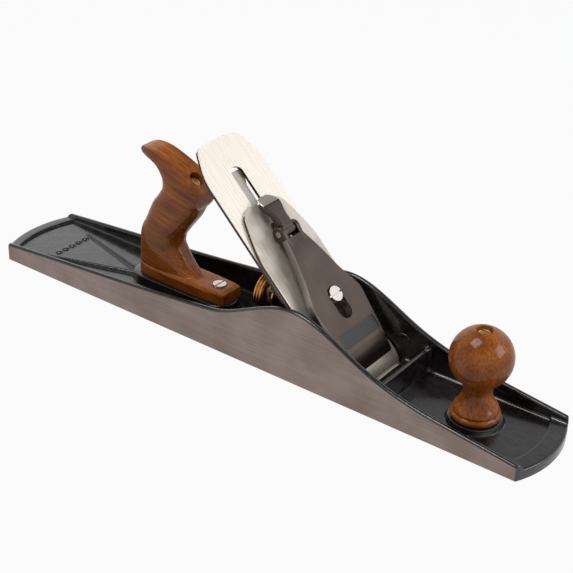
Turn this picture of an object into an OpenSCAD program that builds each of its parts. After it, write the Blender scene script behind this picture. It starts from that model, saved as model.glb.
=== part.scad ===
/* [Body] */
// Length of the sole
sole_l = 457; // [440:1:480]
// Sole length ahead of the mouth
toe_len = 132.15; // [128:0.5:140]
// Thickness of each cheek
cheek_t = 4; // [3:0.1:5]
// Gap between the iron's edge and each cheek
side_gap = 0.85; // [0.85:0.05:1.5]
// How far the heel's end bows out
heel_bow = 8.25; // [5:0.25:11]
// How far the toe's end bows out
toe_bow = 9; // [5:0.25:12]
// Height of the floor behind the mouth
rear_floor = 9.5; // [8.5:0.1:10.5]
// Height of the floor ahead of the mouth
front_floor = 5; // [4:0.1:6]
// Height of the cheeks beside the mouth
peak_h = 55.4; // [50:0.2:60]
// Height of the cheeks at the heel
heel_h = 12.9; // [12.6:0.1:15]
// Height of the cheeks at the toe
toe_h = 10.2; // [9:0.1:12]
// Gap ahead of the iron's upper face at the sole
mouth_gap = 2.2; // [2:0.1:4]
// Height of the cross rib above the sole
rib_h = 22; // [15:0.5:26]
// Thickness of the cross rib
rib_t = 3.75; // [3:0.25:5]

/* [Irons] */
// Width of the cutting iron
iron_w = 60.3; // [57:0.1:63]
// Thickness of the cutting iron
iron_t = 2.2; // [1.8:0.1:2.6]
// Length of the cutting iron
iron_len = 197; // [185:1:205]
// Thickness of the cap iron
cap_t = 2.3; // [1.8:0.1:2.5]
// Length of the cap iron
cap_len = 145; // [138:1:150]
// Width of the iron's slot
slot_w = 11.2; // [11:0.1:12]

/* [Lever cap] */
// Width of the lever cap
lever_w = 51.6; // [46:0.2:54]
// Height of the lever cap's face above the iron
lever_h = 14; // [13.6:0.1:15]
// Thickness of the lever cap's plate
lever_t = 6; // [5:0.1:6.4]
// Diameter of the cam lever's pivot pin
cam_pin_d = 4; // [3:0.1:4.4]
// Width of the cam lever's thumb
thumb_w = 17; // [15:0.5:22]

/* [Frog] */
// Width of the frog's bed
frog_w = 49; // [46:0.5:52]
// Thickness of the frog's bed
frog_t = 7.8; // [7.4:0.1:8.2]
// Spacing of the two frog screws
frog_screw_gap = 28; // [27:0.5:29]
// Diameter of the frog screws
frog_screw_d = 6; // [5:0.1:6.4]
// Diameter of the depth wheel
wheel_d = 29; // [26:0.5:31]
// Diameter of the stud that carries the depth wheel
stud_d = 6; // [5:0.1:6.4]
// Diameter of the lever cap screw's shank
cap_screw_d = 8; // [7:0.1:8.4]

/* [Handles] */
// Distance of the tote's toe screw behind the mouth
tote_back = 135.35; // [133:0.5:140]
// Thickness of the tote's grip
tote_t = 24.4; // [20:0.2:27]
// Height of the tote's seat above the rear floor
tote_seat = 8.5; // [7:0.1:10]
// Distance of the knob ahead of the mouth
knob_ahead = 74.95; // [72:0.5:80]
// Diameter of the knob's ball
knob_d = 42; // [38:0.5:46]
// Height of the knob's seat above the front floor
knob_seat = 4; // [3:0.1:6]
// Diameter of the rods in the tote and the knob
rod_d = 6; // [5:0.1:6.4]

/* [Hidden] */
$fn = 64;

// Clearances
cut = 1;
run_fit = 0.05;
slide_fit = 0.3;
loose_fit = 0.6;
face_gap = 0.03;

// Body
mouth_x = sole_l/2 - toe_len;
bed_pitch = 45;
wall_y = iron_w/2 + side_gap;
sole_w = 2*(wall_y + cheek_t);
heel_r = (pow(sole_w/2, 2) + pow(heel_bow, 2))/(2*heel_bow);
toe_r = (pow(sole_w/2, 2) + pow(toe_bow, 2))/(2*toe_bow);
heel_lip_w = 8;
heel_lip_h = 2;
toe_lip_w = 12.5;
toe_lip_h = 1.9;
waist = [mouth_x - 116.35, 31.6];
peak = [mouth_x - 46.35, peak_h];
shoulder = [mouth_x + 8.65, 34.2];
foot = [mouth_x + 68.65, 18.4];
curve_steps = 8;
stations = [[-sole_l/2, heel_h, 0.095], [waist[0], waist[1], 0.12], [peak[0], peak[1], 0],
    [shoulder[0], shoulder[1], -0.45], [foot[0], foot[1], -0.13], [sole_l/2, toe_h, -0.13]];
frog_back = 1.5;
frog_ahead = 0.8;
throat_floor = front_floor + 1.5;
throat_lean = 15;
mouth_land = 1.5;
rib_x = mouth_x + 19.15;
heel_rib_w = 3;
heel_rib_h = 2.5;
heel_ribs = [[39, -26], [36, 21]];
bead_r = 2.3;
bead_h = 1;
bead_pitch = 7;
bead_x = 42;
bore_floor = 2;
frog_bore_h = 8.5;
rod_bore_h = 30;
rod_foot = 3;

// Bed stations, measured up the bed from the sole, and heights above the iron's face
edge_s = 0.42;
bevel = 25;
screw_s = 66;
cap_screw_s = 46;
iron_hole_s = 30;
iron_hole_r = 10;
slot_top_s = iron_len - 22.5;
finger_s = 78;
disc_s = 95.5;
lateral_s = 103;
frog_top_s = 110;
depth_down = 1;
depth_up = 2.5;
hump_s = 14.5;
hump_h = cap_t + 2.5;

// Frog
seat_z = rear_floor + 2.5;
seat_w = 54;
seat_rear = mouth_x - 62.35;
seat_front = mouth_x - 14;
bed_off = -iron_t - face_gap;
frog_back_off = bed_off - frog_t;
frog_rear = mouth_x - 60.35;
foot_w = 52;
foot_t = 5;
foot_len = 60;
frog_corner = 8.5;
frog_reach = 200;
web_t = 3.5;
web_inset = 1;
web_front = mouth_x - 25;
web_low_s = 44;
web_high_s = 86;
web_rise = 20;
frog_screw_x = mouth_x - 36.35;
washer_d = frog_screw_d + 6;
washer_t = 1.2;
frog_head_d = frog_screw_d + 3.5;
frog_head_t = 3.3;
pocket_z = seat_z + foot_t;
guide_w = 12;
guide_rear = mouth_x - 56.85;
guide_front = mouth_x - 38.35;
guide_z = seat_z + 7.5;
adjust_z = seat_z + 2.8;
adjust_d = 5;
adjust_head_d = 9.8;
collar_d = 9;
plate_t = 1.6;
plate_w = 12;
frog_wall_t = 4;
frog_wall_h = 12.5;
frog_wall_w = frog_w - 3;
plate_screw_z = seat_z + 14;
plate_screw_d = 4;

// Depth adjuster
wheel_z = seat_z + 26.5;
wheel_rear = mouth_x - 94.85;
rim_w = 7;
groove_w = 4.4;
groove_r = 6.4;
flange_w = 1.6;
flange_r = 9;
ridges = 3;
ridge_depth = 0.9;
groove_x = wheel_rear + rim_w + groove_w/2;
stud_rear = wheel_rear - 3.5;
boss_rear = mouth_x - 70.35;
boss_front = mouth_x - 45;
boss_wall = 4;
boss_half = 20;
stud_front = mouth_x - 59.35;
yoke_s = 92;
yoke_off = -18;
yoke_pin_d = 4.4;
yoke_hub_d = 7;
yoke_w = 18;
lug_t = 3;
fork_t = 2.2;
fork_w = 1.8;
finger_w = 6.8;
finger_t = 3.4;

// Lateral adjuster
lateral_t = 2;
lateral_off = -iron_t - 0.4;
lateral_len = 172;
disc_r = slot_w/2 - 0.25;
disc_t = 2.2;
lateral_pin_d = 5;
lateral_tab = 9;

// Lever cap
cap_head_d = 10.8;
cap_head_t = 3.5;
cap_head_off = lever_h - 2;
keyhole_r = 6.25;
keyhole_s = 54;
lip_s = 13.2;
lip_gap = 0.1;
cam_s = 119;
cam_off = 8.8;
cam_r = 4.2;
cam_lobe = 1;
ear_gap = 11.6;
ear_t = 3.2;
ear_len = 5.6;
spring_t = 0.8;
spring_w = 10.4;
rivet_s = 96;
rivet_d = 4;
panel_s = [31, 41.5];
panel_w = 39.5;
panel_depth = 0.6;
shoulder_s = 62;
shoulder_lean = 9.2;

// Handles
tote_x = mouth_x - tote_back;
tote_z = rear_floor + tote_seat;
tote_sides = 24;
tote_power = 0.72;
tote_boss_w = 26;
tote_boss_len = 66;
boss_nose = 0.4;
tote_tail = 87;
tail_half = 2.5;
tail_root = 8;
rod_tilt = 27;
nut_d = 10;
nut_x = -21.3;
nut_z = 86;
nut_h = 8;
nut_sunk = 6;
toe_screw_d = 5;
toe_head_d = 9.6;
toe_head_t = 2.8;
toe_top = 10;
knob_x = mouth_x + knob_ahead;
knob_z = front_floor + knob_seat;
knob_boss_r = 18.4;
knob_base_r = 16.5;
knob_neck_r = 9.4;
ball_z = knob_d/2 + 22.6;
knob_top = ball_z + knob_d/2 - 0.7;
driver_slot = 1.4;

// Rear and front edge of the tote's rings: rear x, rear z, front x, front z, share of thickness
tote_rings = [
    [-73, 0, 11, 0, 0.92], [-73, 2, 11.3, 2, 0.97], [-72.6, 7.5, 11, 7.5, 0.97],
    [-72.3, 9, 9, 9.6, 0.9], [-72, 10.2, -17, 10.2, 0.87], [-71.8, 12, -20, 11.6, 0.88],
    [-71.5, 18, -26, 16.5, 0.9], [-70.7, 25, -31.8, 24.2, 0.92], [-69.6, 33, -35.4, 31, 0.95],
    [-67.5, 40, -34.4, 36.5, 0.98], [-64, 46, -30.5, 42.5, 1], [-60.5, 54, -24, 51, 1],
    [-57, 61, -18.8, 58, 1], [-51.5, 68.5, -15.5, 64.5, 1], [-48, 75.5, -13, 71, 0.98],
    [-48.5, 80.5, -12.8, 77, 0.95], [-50.2, 84, -16, 82, 0.9], [-55, 89.5, -20, 86.6, 0.84],
    [-59.5, 91.8, -27, 91, 0.79], [-64, 93.5, -38, 96.4, 0.72], [-67.3, 95.2, -47, 99.8, 0.62],
    [-68.5, 97, -54, 101.5, 0.5], [-67.3, 99, -60, 102, 0.33], [-66, 100.3, -63.5, 101.6, 0.12]];

// A point on the cubic that leaves a and meets b at their slopes
function curve_at(a, b, t) =
    let (run = b[0] - a[0], t2 = t*t, t3 = t2*t)
    [a[0] + run*t,
     (2*t3 - 3*t2 + 1)*a[1] + (t3 - 2*t2 + t)*run*a[2] + (3*t2 - 2*t3)*b[1] + (t3 - t2)*run*b[2]];

// The top line of the cheeks, from heel to toe
function cheek_line() = concat(
    [for (k = [0:len(stations) - 2], j = [0:curve_steps - 1])
        curve_at(stations[k], stations[k + 1], j/curve_steps)],
    [[sole_l/2, toe_h]]);

// A point up the bed by s and above the iron's face by off, as x and z
function on_bed_xz(s, off) =
    [mouth_x - s*cos(bed_pitch) + off*sin(bed_pitch), s*sin(bed_pitch) + off*cos(bed_pitch)];

// A rounded power of a sine or cosine, which squares an oval up a little
function rounded(v) = sign(v)*pow(abs(v), tote_power);

// Extrudes an x-z outline across the body between two y values
module across(y0, y1) {
    translate([0, y1, 0]) rotate([90, 0, 0]) linear_extrude(y1 - y0) children();
}

// Places children in the bed's frame: x down the bed, z square to it
module on_bed() {
    translate([mouth_x, 0, 0]) rotate([0, bed_pitch, 0]) children();
}

// Extrudes an outline of (s, y) between two heights above the iron's face
module bed_plate(low, high) {
    on_bed() translate([0, 0, low]) linear_extrude(high - low) mirror([1, 0]) children();
}

// Extrudes an outline of (s, height) across the bed between two y values
module bed_across(y0, y1) {
    on_bed() across(y0, y1) mirror([1, 0]) children();
}

// A round bar square to the bed
module bed_pin(s, low, high, r) {
    on_bed() translate([-s, 0, low]) cylinder(h = high - low, r = r);
}

// A round bar along x
module along_x(x0, x1, z, r) {
    translate([x0, 0, z]) rotate([0, 90, 0]) cylinder(h = x1 - x0, r = r);
}

// A round bar along y through a point of the bed's frame
module bed_axle(s, off, y0, y1, r) {
    on_bed() translate([-s, y1, off]) rotate([90, 0, 0]) cylinder(h = y1 - y0, r = r);
}

// One end of a plan outline: the part of the bowed end that lies within the width
module bowed_end(side, end_x, r, width, reach) {
    intersection() {
        translate([end_x - side*r, 0]) circle(r = r, $fn = 180);
        translate([side > 0 ? end_x - reach : end_x, -width/2]) square([reach, width]);
    }
}

// Plan of the whole sole
module sole_plan() {
    reach = heel_bow + toe_bow + 12;
    bowed_end(-1, -sole_l/2, heel_r, sole_w, reach);
    bowed_end(1, sole_l/2, toe_r, sole_w, reach);
    translate([-sole_l/2 + heel_bow, -sole_w/2]) square([sole_l - heel_bow - toe_bow, sole_w]);
}

// Space between the cheeks behind the mouth, above the rear floor
module rear_trough() {
    reach = 60;
    translate([0, 0, rear_floor]) linear_extrude(peak_h) {
        intersection() {
            translate([-sole_l/2 + heel_r, 0]) circle(r = heel_r - heel_lip_w, $fn = 180);
            translate([-sole_l/2, -wall_y]) square([reach, 2*wall_y]);
        }
        translate([-sole_l/2 + reach - cut, -wall_y])
            square([mouth_x + sole_l/2 - reach + cut, 2*wall_y]);
    }
    translate([-sole_l/2 - cut, -wall_y, rear_floor + heel_lip_h])
        cube([reach, 2*wall_y, peak_h]);
}

// Space between the cheeks ahead of the mouth, above the front floor
module front_trough() {
    reach = 60;
    translate([0, 0, front_floor]) linear_extrude(peak_h) {
        intersection() {
            translate([sole_l/2 - toe_r, 0]) circle(r = toe_r - toe_lip_w, $fn = 180);
            translate([sole_l/2 - reach, -wall_y]) square([reach, 2*wall_y]);
        }
        translate([rib_x, -wall_y]) square([sole_l/2 - reach + cut - rib_x, 2*wall_y]);
    }
    translate([sole_l/2 - reach, -wall_y, front_floor + toe_lip_h])
        cube([reach + cut, 2*wall_y, peak_h]);
    translate([mouth_x - cut, -wall_y, throat_floor])
        cube([rib_x - mouth_x + 2*cut, 2*wall_y, peak_h]);
}

// Slot for the iron: its rear wall follows the bed, its front wall leans forward
module mouth_slot() {
    rear_off = -iron_t - frog_back*sin(bed_pitch) - slide_fit;
    lean = (throat_floor + cut - mouth_land)*tan(throat_lean);
    low_x = mouth_x + (rear_off + cut*cos(bed_pitch))/sin(bed_pitch);
    high_z = seat_z + cut;
    across(-wall_y, wall_y) polygon([[low_x, -cut], [mouth_x + mouth_gap, -cut],
        [mouth_x + mouth_gap, mouth_land],
        [mouth_x + mouth_gap + lean, throat_floor + cut],
        [mouth_x + mouth_gap, high_z],
        [mouth_x + (rear_off - high_z*cos(bed_pitch))/sin(bed_pitch), high_z]]);
}

// Plan of the seat that carries the tote, with its tail toward the heel
module tote_seat_plan() {
    half = tote_boss_w/2;
    translate([-tote_boss_len, -half]) square([tote_boss_len, 2*half]);
    circle(r = half + boss_nose);
    translate([1 - tote_boss_len, 0]) circle(r = half - boss_nose);
    polygon([[-tote_boss_len, tail_root], [-tote_tail, tail_half], [-tote_tail, -tail_half],
        [-tote_boss_len, -tail_root]]);
}

// One of the two low ribs that run from the tote's seat toward the heel's corners
module heel_rib(from_heel, y) {
    start = [-sole_l/2 + from_heel, y];
    goal = [tote_x - tote_tail + 4, 0];
    run = goal - start;
    side = [-run[1], run[0]]/norm(run)*heel_rib_w/2;
    translate([0, 0, rear_floor - cut]) linear_extrude(heel_rib_h + cut)
        polygon([start + side, start - side, goal - side, goal + side]);
}

module body_casting() color("#2a2625") {
    difference() {
        union() {
            difference() {
                intersection() {
                    across(-sole_w/2, sole_w/2)
                        polygon(concat([[sole_l/2, 0], [-sole_l/2, 0]], cheek_line()));
                    linear_extrude(peak_h + cut) sole_plan();
                }
                rear_trough();
                front_trough();
            }
            translate([rib_x - rib_t/2, -wall_y - cut, cut]) cube([rib_t, 2*(wall_y + cut), rib_h - cut]);
            translate([seat_rear, -seat_w/2, cut]) cube([seat_front - seat_rear, seat_w, seat_z - cut]);
            translate([guide_rear, -guide_w/2, cut])
                cube([guide_front - guide_rear, guide_w, guide_z - cut]);
            translate([tote_x, 0, cut]) linear_extrude(tote_z - cut) tote_seat_plan();
            translate([knob_x, 0, cut]) cylinder(h = knob_z - cut, r = knob_boss_r, $fn = 96);
            for (rib = heel_ribs) heel_rib(rib[0], rib[1]);
            for (k = [-2:2]) translate([-sole_l/2 + bead_x, k*bead_pitch, rear_floor - cut])
                cylinder(h = bead_h + cut, r = bead_r);
        }
        mouth_slot();
        translate([seat_rear - cut, -plate_w/2 - loose_fit, rear_floor])
            cube([guide_rear - seat_rear + cut, plate_w + 2*loose_fit, guide_z]);
        for (side = [-1, 1]) translate([frog_screw_x, side*frog_screw_gap/2, seat_z - frog_bore_h])
            cylinder(h = frog_bore_h + cut, d = frog_screw_d + 2*run_fit);
        along_x(guide_rear - cut, guide_front + cut, adjust_z, adjust_d/2 + run_fit);
        rod_line(0) cylinder(h = rod_bore_h, d = rod_d + 2*run_fit);
        translate([tote_x, 0, rear_floor - bore_floor])
            cylinder(h = tote_seat + bore_floor + cut, d = toe_screw_d + 2*run_fit);
        translate([knob_x, 0, front_floor - bore_floor])
            cylinder(h = knob_seat + bore_floor + cut, d = rod_d + 2*run_fit);
    }
}

// Places children on the tote's rod, which starts low in the body and leans forward
module rod_line(up) {
    low_z = -tote_seat - rod_foot;
    translate([tote_x + nut_x - (nut_z - low_z)*tan(rod_tilt), 0, tote_z + low_z])
        rotate([0, rod_tilt, 0]) translate([0, 0, up]) children();
}

rod_len = (nut_z + tote_seat + rod_foot)/cos(rod_tilt);

// Plan of the frog's bed: wide at the foot and narrow at the top
module frog_plan() {
    half = frog_w/2;
    polygon([[0, -half], [screw_s + 4, -half], [frog_top_s, frog_corner - half],
        [frog_top_s, half - frog_corner], [screw_s + 4, half], [0, half]]);
}

// Clear space round one frog screw and its washer, which stand still while the frog slides
module frog_screw_pocket() {
    rear = washer_d/2 + slide_fit + frog_ahead;
    front = washer_d/2 + slide_fit + frog_back;
    half = washer_d/2 + slide_fit;
    shank = frog_screw_d/2 + slide_fit;
    translate([frog_screw_x - rear, -half, pocket_z]) cube([rear + front, 2*half, 40]);
    translate([frog_screw_x - shank - frog_ahead, -shank, seat_z - cut])
        cube([2*shank + frog_ahead + frog_back, 2*shank, foot_t + 2*cut]);
}

module frog() color("#221f1f") {
    difference() {
        union() {
            intersection() {
                bed_plate(frog_back_off, bed_off) frog_plan();
                translate([mouth_x - frog_reach, -frog_w, seat_z])
                    cube([2*frog_reach, 2*frog_w, frog_reach]);
            }
            intersection() {
                translate([frog_rear, -foot_w/2, seat_z]) cube([foot_len, foot_w, foot_t]);
                bed_across(-foot_w/2, foot_w/2) translate([0, bed_off - frog_reach])
                    square([frog_top_s, frog_reach]);
            }
            for (side = [-1, 1]) across(side*(frog_w/2 - web_inset) - (side > 0 ? web_t : 0),
                side*(frog_w/2 - web_inset) + (side < 0 ? web_t : 0)) frog_lower_web();
            translate([frog_rear, -frog_wall_w/2, guide_z + loose_fit])
                cube([frog_wall_t, frog_wall_w, frog_wall_h]);
            intersection() {
                along_x(boss_rear, boss_front, wheel_z, stud_d/2 + boss_wall);
                bed_across(-boss_half, boss_half) translate([0, bed_off - 1 - frog_reach])
                    square([frog_top_s, frog_reach]);
            }
            for (side = [-1, 1]) across(side > 0 ? yoke_w/2 + slide_fit : -yoke_w/2 - slide_fit - lug_t,
                side > 0 ? yoke_w/2 + slide_fit + lug_t : -yoke_w/2 - slide_fit) yoke_lug();
        }
        for (side = [-1, 1]) translate([0, side*frog_screw_gap/2, 0]) frog_screw_pocket();
        translate([frog_rear - cut, -guide_w/2 - slide_fit, seat_z - cut])
            cube([guide_front - frog_rear + frog_back + slide_fit + cut, guide_w + 2*slide_fit,
                guide_z + slide_fit - seat_z + cut]);
        along_x(boss_rear - cut, stud_front + slide_fit, wheel_z, stud_d/2 + run_fit);
        bed_pin(screw_s, frog_back_off - 6, 0, cap_screw_d/2 + run_fit);
        head_pocket();
        finger_window();
        lateral_recess();
        bed_pin(lateral_s, frog_back_off - cut, 0, lateral_pin_d/2 + run_fit);
        bed_axle(yoke_s, yoke_off, -frog_w, frog_w, yoke_pin_d/2 + run_fit);
        along_x(frog_rear - cut, frog_rear + frog_wall_t + cut, plate_screw_z, plate_screw_d/2 + run_fit);
    }
}

// The web that joins the foot to the back of the bed, on each side of the frog
module frog_lower_web() {
    polygon([[frog_rear, seat_z], [web_front, seat_z], on_bed_xz(web_low_s, frog_back_off + cut),
        on_bed_xz(web_high_s, frog_back_off + cut), [frog_rear, seat_z + web_rise]]);
}

// One ear on the frog's back that carries the yoke's pin
module yoke_lug() {
    pin = on_bed_xz(yoke_s, yoke_off);
    r = yoke_pin_d/2 + 2;
    polygon([on_bed_xz(yoke_s - 12, frog_back_off + cut), on_bed_xz(yoke_s + 8, frog_back_off + cut),
        on_bed_xz(yoke_s + r, yoke_off), on_bed_xz(yoke_s, yoke_off - r),
        on_bed_xz(yoke_s - r, yoke_off)]);
}

// Hollow in the bed for the head of the cap iron's screw, over its whole travel
module head_pocket() {
    reach = cap_iron_head_r + loose_fit;
    bed_plate(bed_off - cap_iron_head_t - loose_fit, cut)
        translate([cap_screw_s - reach - depth_down, -reach])
        square([2*reach + depth_down + depth_up, 2*reach]);
}

cap_iron_head_r = 8.3;
cap_iron_head_t = 3.2;

// Window in the bed for the yoke's finger
module finger_window() {
    bed_plate(frog_back_off - cut, cut) translate([finger_s - 5, -finger_w/2 - loose_fit])
        square([17.5, finger_w + 2*loose_fit]);
}

// Recess in the bed's face for the lateral lever
module lateral_recess() {
    bed_plate(lateral_off - lateral_t - slide_fit, cut)
        translate([disc_s - disc_r - loose_fit, -disc_r - 1.2])
        square([frog_top_s, 2*disc_r + 2.4]);
}

// A straight driver slot, cut into the end of a screw that points up the z axis
module slot_cut(d, depth) {
    translate([-driver_slot/2, -d/2 - cut, -depth]) cube([driver_slot, d + 2*cut, depth + cut]);
}

module frog_screws() color("#8a8682") {
    for (side = [-1, 1]) translate([frog_screw_x, side*frog_screw_gap/2, 0]) difference() {
        union() {
            translate([0, 0, seat_z - 8]) cylinder(h = foot_t + washer_t + 8 + cut, d = frog_screw_d);
            translate([0, 0, pocket_z + washer_t + face_gap]) cylinder(h = frog_head_t, d = frog_head_d);
        }
        translate([0, 0, pocket_z + washer_t + face_gap + frog_head_t]) slot_cut(frog_head_d, 1.4);
    }
}

module frog_washers() color("#9a958f") {
    for (side = [-1, 1]) translate([frog_screw_x, side*frog_screw_gap/2, pocket_z + face_gap])
        difference() {
            cylinder(h = washer_t, d = washer_d);
            translate([0, 0, -cut]) cylinder(h = washer_t + 2*cut, d = frog_screw_d + 2*run_fit);
        }
}

module frog_adjusting_screw() color("#8a8682") {
    front = frog_rear + slide_fit;
    rear = frog_rear - plate_t - slide_fit;
    difference() {
        union() {
            along_x(rear - cut, guide_front - cut, adjust_z, adjust_d/2);
            along_x(front, front + 1.5, adjust_z, collar_d/2);
            along_x(rear - 9, rear, adjust_z, adjust_head_d/2);
        }
        translate([rear - 9, 0, adjust_z]) rotate([0, -90, 0]) slot_cut(adjust_head_d, 2);
    }
}

module frog_adjusting_plate() color("#3a3634") {
    difference() {
        translate([frog_rear - plate_t, -plate_w/2, adjust_z - 3])
            cube([plate_t, plate_w, plate_screw_z - adjust_z + 3 + 5]);
        translate([frog_rear - plate_t - cut, -adjust_d/2 - slide_fit, adjust_z - 3 - cut])
            cube([plate_t + 2*cut, adjust_d + 2*slide_fit, 3 + adjust_d/2 + slide_fit + cut]);
        along_x(frog_rear - plate_t - cut, frog_rear + cut, plate_screw_z, plate_screw_d/2 + run_fit);
    }
}

module frog_plate_screw() color("#8a8682") {
    rear = frog_rear - plate_t;
    difference() {
        union() {
            along_x(rear, frog_rear + frog_wall_t, plate_screw_z, plate_screw_d/2);
            along_x(rear - 2.4, rear, plate_screw_z, plate_screw_d/2 + 1.6);
        }
        translate([rear - 2.4, 0, plate_screw_z]) rotate([0, -90, 0]) slot_cut(plate_screw_d + 4, 1);
    }
}

module lateral_pivot_rivet() color("#8a8682") {
    bed_pin(lateral_s, frog_back_off, lateral_off - 0.1, lateral_pin_d/2);
}

module lateral_lever() color("#6d6863") {
    low = lateral_off - lateral_t;
    difference() {
        union() {
            bed_plate(low, lateral_off) {
                translate([disc_s, 0]) circle(r = disc_r - 0.2);
                polygon([[disc_s, -5], [frog_top_s, -5], [frog_top_s + 14, -3.6], [lateral_len - 12, -3.6],
                    [lateral_len - 4, -8], [lateral_len, -6.5], [lateral_len, 6.5], [lateral_len - 4, 8],
                    [lateral_len - 12, 3.6], [frog_top_s + 14, 3.6], [frog_top_s, 5], [disc_s, 5]]);
            }
            bed_plate(low - lateral_tab, low + 0.5) translate([lateral_len - lateral_t, -6.5])
                square([lateral_t, 13]);
        }
        bed_pin(lateral_s, low - cut, 0, lateral_pin_d/2 + run_fit);
        bed_pin(disc_s, low - cut, 0, 1.6 + run_fit);
    }
}

module lateral_disc() color("#a8a39c") {
    bed_pin(disc_s, lateral_off, lateral_off + disc_t, disc_r);
    bed_pin(disc_s, lateral_off - lateral_t, lateral_off + cut, 1.6);
}

module yoke_pivot_pin() color("#8a8682") {
    reach = yoke_w/2 + slide_fit + lug_t;
    bed_axle(yoke_s, yoke_off, -reach, reach, yoke_pin_d/2);
}

// The fork's arm: down the groove beside the wheel's hub, then forward to the pivot
module fork_arm() {
    pin = on_bed_xz(yoke_s, yoke_off);
    top = wheel_z + flange_r - 1.5;
    half = fork_w/2;
    polygon([[groove_x - half, wheel_z], [groove_x + half, wheel_z], [groove_x + half, top - 1.5],
        [pin[0] + 1, pin[1] - 3], [pin[0] - 2, pin[1] + 2], [groove_x - half, top + 0.3]]);
}

module depth_yoke() color("#57524e") {
    hub_r = yoke_hub_d/2;
    arm_y = yoke_w/2;
    difference() {
        union() {
            bed_axle(yoke_s, yoke_off, -yoke_w/2, yoke_w/2, hub_r);
            for (side = [-1, 1]) {
                across(side > 0 ? arm_y - fork_t : -arm_y, side > 0 ? arm_y : -arm_y + fork_t) fork_arm();
                translate([groove_x, side > 0 ? arm_y : -arm_y + fork_t, wheel_z]) rotate([90, 0, 0])
                    cylinder(h = fork_t, r = groove_w/2 - slide_fit);
            }
            bed_across(-finger_w/2, finger_w/2) polygon([[yoke_s + 2, yoke_off - 2],
                [yoke_s + 2, yoke_off + 2], [finger_s + finger_t/2 + 1, -6], [finger_s + finger_t/2, -4],
                [finger_s + finger_t/2, 2], [finger_s - finger_t/2, 2], [finger_s - finger_t/2, -6],
                [yoke_s - 3, yoke_off]]);
        }
        bed_axle(yoke_s, yoke_off, -yoke_w, yoke_w, yoke_pin_d/2 + run_fit);
    }
}

module depth_stud() color("#8a8682") {
    along_x(stud_rear, stud_front, wheel_z, stud_d/2);
}

module depth_wheel() color("#c87a2c") {
    rim = wheel_d/2;
    pitch = rim_w/ridges;
    translate([wheel_rear, 0, wheel_z]) rotate([0, 90, 0]) rotate_extrude($fn = 96)
        polygon(concat([[stud_d/2 + run_fit, 0], [rim - ridge_depth, 0]],
            [for (k = [0:ridges - 1], p = [[0.25, 0], [0.75, 0], [1, ridge_depth]])
                [rim - p[1], (k + p[0])*pitch]],
            [[groove_r, rim_w], [groove_r, rim_w + groove_w], [flange_r, rim_w + groove_w],
             [flange_r, rim_w + groove_w + flange_w], [stud_d/2 + run_fit, rim_w + groove_w + flange_w]]));
}

module lever_cap_screw() color("#9a958f") {
    difference() {
        union() {
            bed_pin(screw_s, frog_back_off + 0.5, cap_head_off + face_gap + cut, cap_screw_d/2);
            bed_pin(screw_s, cap_head_off + face_gap, cap_head_off + cap_head_t, cap_head_d/2);
        }
        on_bed() translate([-screw_s, 0, cap_head_off + cap_head_t]) slot_cut(cap_head_d, 1.6);
    }
}

// Plan of the cutting iron, with its tapered top and its slot
module iron_plan() {
    half = iron_w/2;
    difference() {
        polygon([[0, -half], [iron_len - 29, -half], [iron_len - 5, -half + 7.6],
            [iron_len - 1.5, -half + 10.5], [iron_len, 0], [iron_len - 1.5, half - 10.5],
            [iron_len - 5, half - 7.6], [iron_len - 29, half], [0, half]]);
        translate([iron_hole_s, -slot_w/2]) square([slot_top_s - slot_w/2 - iron_hole_s, slot_w]);
        translate([slot_top_s - slot_w/2, 0]) circle(d = slot_w);
        translate([iron_hole_s, 0]) circle(r = iron_hole_r);
    }
}

module cutting_iron() color("#e6ded4") {
    heel = edge_s + iron_t/tan(bevel);
    intersection() {
        bed_plate(-iron_t - cut, cut) iron_plan();
        bed_across(-iron_w, iron_w) polygon([[edge_s, 0], [iron_len + cut, 0], [iron_len + cut, -iron_t],
            [heel, -iron_t]]);
    }
}

module cap_iron() color("#cfc8bf") {
    half = iron_w/2 - 0.15;
    top = cap_len;
    intersection() {
        bed_plate(-cut, hump_h + cut) difference() {
            polygon([[0, -half], [top - 37, -half], [top - 8, -half + 8], [top - 3.5, -half + 11],
                [top, -half + 17], [top, half - 17], [top - 3.5, half - 11], [top - 8, half - 8],
                [top - 37, half], [0, half]]);
            translate([screw_s + (depth_down - depth_up)/2, 0]) circle(r = cap_head_d/2 + 1.4);
            translate([finger_s - finger_t/2 - 0.4, -finger_w/2 - 0.4])
                square([finger_t + 0.8, finger_w + 0.8]);
            translate([cap_screw_s, 0]) circle(r = 4);
        }
        bed_across(-iron_w, iron_w) polygon([[1.5, 0], [6, 1.6], [hump_s - 2, hump_h - cap_t],
            [18.5, 1.4], [25, 0], [cap_len, 0], [cap_len, cap_t], [27, cap_t], [20.5, hump_h - 0.7],
            [hump_s + 2, hump_h], [hump_s - 2, hump_h], [9, hump_h - 0.5], [5, hump_h - 1.9], [1.5, 0.2]]);
    }
}

module cap_iron_screw() color("#8a8682") {
    difference() {
        union() {
            bed_pin(cap_screw_s, -iron_t - cap_iron_head_t, -iron_t, cap_iron_head_r);
            bed_pin(cap_screw_s, -iron_t - cut, cap_t, 4 - run_fit);
        }
        on_bed() translate([-cap_screw_s, 0, -iron_t - cap_iron_head_t]) rotate([180, 0, 0])
            slot_cut(2*cap_iron_head_r, 1.3);
    }
}

// Plan of the lever cap: a wide foot, hollow flanks and a narrow neck
module lever_plan() {
    half = lever_w/2;
    neck = ear_gap/2 + ear_t;
    side = [[lip_s, half - 2.5], [lip_s + 3, half], [60, half], [66, half - 1.6], [73, half - 4.4],
        [82, half - 8], [92, neck + 6], [100, neck + 3.6], [108, neck + 1.4], [cam_s - ear_len, neck]];
    polygon(concat(side, [for (k = [len(side) - 1:-1:0]) [side[k][0], -side[k][1]]]));
}

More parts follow.
